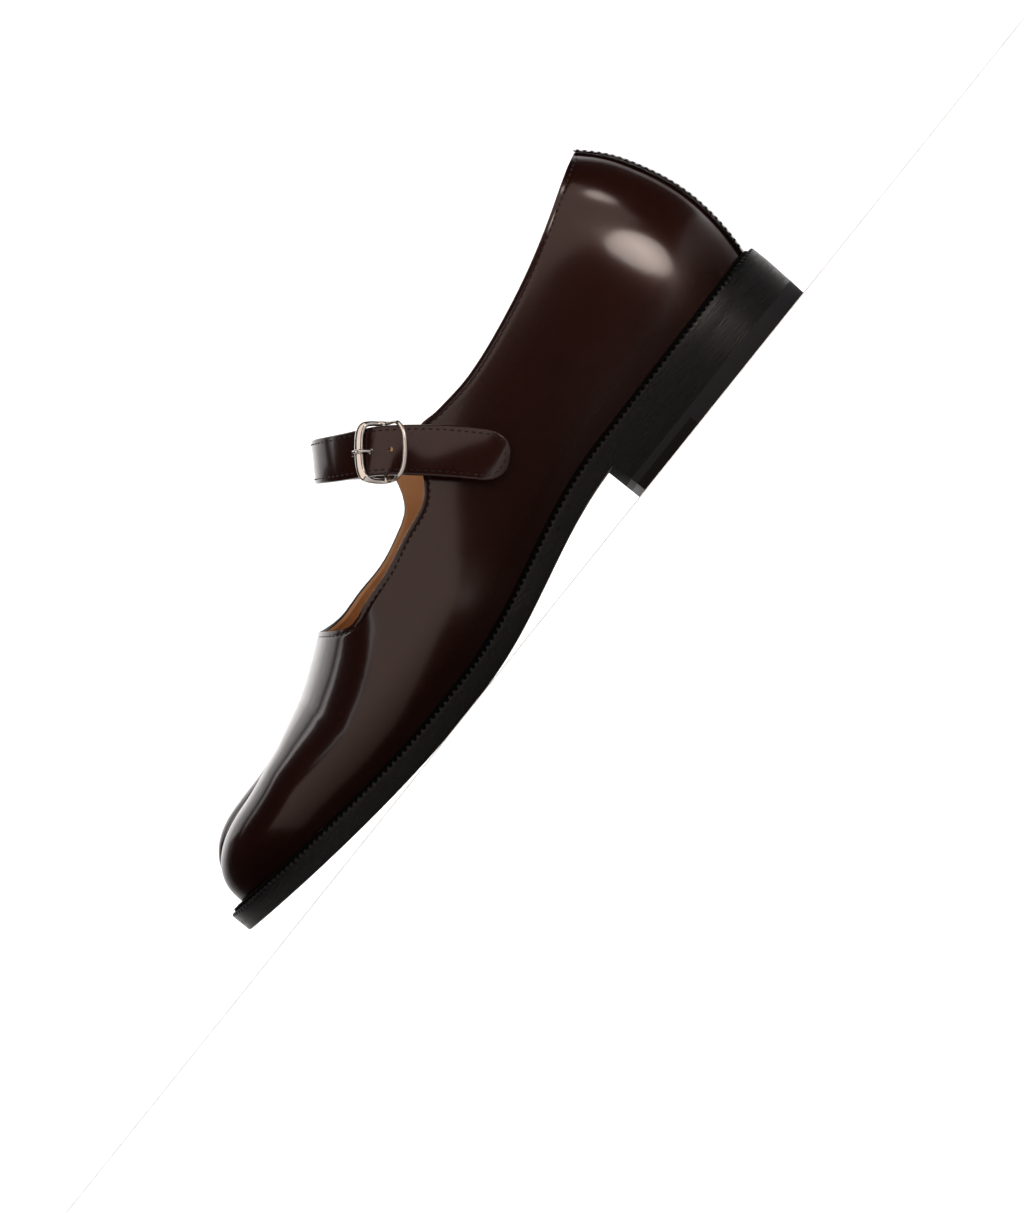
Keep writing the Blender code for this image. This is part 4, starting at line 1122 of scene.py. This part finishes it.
# The prong hooks round the middle bar, comes up through its hole and lies over the front bar.
HOOK_START, HOOK_TURN = 0.30 * pi, 1.42 * pi
ring = BAR / 2 + GAP + PRONG / 2
under = line.lift(prong_hole)
top = under + STRAP
over_bar = front_high + BAR / 2 + GAP + PRONG / 2
path = [(line.buckle + ring * cos(a), BAR_HEIGHT + ring * sin(a))
        for a in (HOOK_START - HOOK_TURN * k / 16 for k in range(17))]
path += [(prong_hole + 0.0001, under - GAP), (prong_hole, top - STRAP / 2), (prong_hole - 0.0001, top + GAP),
         (prong_hole - 0.0010, top + PRONG / 2 + 2 * GAP), (front_s + 0.0013, over_bar - 0.0001),
         (front_s + 0.0004, over_bar + 0.0001), (front_s - 0.0010, over_bar),
         (front_s - 0.0020, over_bar - 0.0005)]
points = [line.point(s, 0, h) for s, h in path]
smooth = []
for i in range(len(points) - 1):
    # A smooth curve through the wire's own points.
    a, b, c, d = (points[min(max(i + k, 0), len(points) - 1)] for k in (-1, 0, 1, 2))
    for t in (0, 0.2, 0.4, 0.6, 0.8):
        smooth.append(0.5 * (2 * b + (c - a) * t + (2 * a - 5 * b + 4 * c - d) * t ** 2
                             + (3 * b - a - 3 * c + d) * t ** 3))
smooth.append(points[-1])
# Two bands are turned on the wire near its tip, at these lengths from it.
BANDS = (0.0013, 0.0027)
BAND_HALF, BAND_SWELL = 0.0004, 0.30
swell = []
for point in smooth:
    away = (point - smooth[-1]).length
    bands = sum(exp(-((away - band) / BAND_HALF) ** 2) for band in BANDS)
    swell.append(PRONG / 2 * (1 + BAND_SWELL * bands))
beside = (line.point(line.buckle, 1, 0) - line.point(line.buckle, 0, 0)).normalized()
bm = bmesh.new()
tube(bm, smooth, swell, swell, 14, beside)
finish_piece("nickel_prong", bm, [nickel], "buckle_prong")

tab = bpy.data.objects["buckle_tab"]
tab.data.materials.clear()
tab.data.materials.append(upper_leather)

# STUDIO. A white sweep for floor and background, with lights of its own, a long softbox overhead, a dim broad
# one above the camera, and two small bright ones that show in the heel's polish.

# Matte white paper.
paper, shader = new_material("matte white paper", "#ffffff", 0.9, Specular_IOR_Level=0.1)
FLOOR_NEAR, FLOOR_FAR, SWEEP_TOP = 2.2, -0.9, 2.4
SWEEP_SIDES = (-2.2, 2.4)
BEND = 0.35
profile = [Vector((0, FLOOR_NEAR, 0)), Vector((0, FLOOR_FAR, 0))]
profile += [Vector((0, FLOOR_FAR - BEND * sin(a), BEND * (1 - cos(a))))
            for a in (pi / 2 * k / 12 for k in range(1, 13))]
profile.append(Vector((0, FLOOR_FAR - BEND, SWEEP_TOP)))
bm = bmesh.new()
lay(bm, [[p + Vector((x, 0, 0)) for p in profile] for x in SWEEP_SIDES])
make_object("sweep", bm, [paper])


def lamp(name, at, target, size, bright, tint="#ffffff", spread=180, shape="RECTANGLE"):
    """An even softbox, aimed at a point. Bright is its face, straight on, against lit white paper."""
    light = bpy.data.lights.new(name, "AREA")
    light.color = colour(tint)[:3]
    light.shape = shape
    light.size, light.size_y = size
    light.spread = spread * pi / 180
    area = size[0] * size[1] * (pi / 4 if shape == "ELLIPSE" else 1)
    # A narrow spread makes the same energy brighter straight on.
    half_spread = spread / 2 * pi / 180
    light.energy = bright * pi * area * (1 - half_spread / tan(half_spread))
    made = bpy.data.objects.new(name, light)
    made.location = at
    made.rotation_euler = (Vector(target) - Vector(at)).to_track_quat("-Z", "Z").to_euler()
    made.visible_camera = False
    bpy.context.scene.collection.objects.link(made)


middle = (0.105, 0.0, 0.04)
lamp("top_box", (0.10, -0.55, 0.95), middle, (1.5, 0.35), 1.1)
lamp("front_box", (0.10, 1.06, 0.785), middle, (2.8, 0.93), 1.15, "#ffe8dc")
lamp("heel_box", (-0.128, 0.253, 0.078), (-0.015, 0.03, 0.05), (0.12, 0.075), 16.0, "#fff2e8", 40, "ELLIPSE")
lamp("collar_box", (-0.264, 0.237, 0.212), (-0.021, 0.026, 0.075), (0.06, 0.06), 9.0, "#fff2e8", 22,
     "ELLIPSE")
lamp("back_light", (0.1, -0.40, 1.50), (0.1, -1.25, 0.45), (2.8, 0.5), 12.6, spread=120)
lamp("floor_light", (0.1, 1.05, 1.30), (0.1, 0.95, 0.0), (2.4, 0.6), 16.0, spread=60)

world = bpy.data.worlds.new("room")
world.use_nodes = True
world.node_tree.nodes["Background"].inputs["Color"].default_value = colour("#ffffff")
world.node_tree.nodes["Background"].inputs["Strength"].default_value = 0.03
bpy.context.scene.world = world
bpy.context.scene.view_settings.view_transform = "Standard"

# CAMERA. A long lens square to the shoe's outer side, rolled so that the toe points down to the left. It
# stops just over the floor.

ROLL = 51.28 * pi / 180
camera_at = Vector((0.105, 1.140, 0.0004))
target = Vector((0.105, 0.0, 0.0107))
forward = (target - camera_at).normalized()
right = forward.cross(Vector((0, 0, 1))).normalized()
up = right.cross(forward)
side_way = right * cos(ROLL) - up * sin(ROLL)
up_way = right * sin(ROLL) + up * cos(ROLL)
turn = Matrix((side_way, up_way, -forward)).transposed().to_4x4()
camera = bpy.data.cameras.new("camera")
camera.sensor_fit = "AUTO"
camera.sensor_width = 36
camera.lens = 98.0
camera.clip_start, camera.clip_end = 0.001, 20
made = bpy.data.objects.new("camera", camera)
made.matrix_world = Matrix.Translation(camera_at) @ turn
bpy.context.scene.collection.objects.link(made)
bpy.context.scene.camera = made
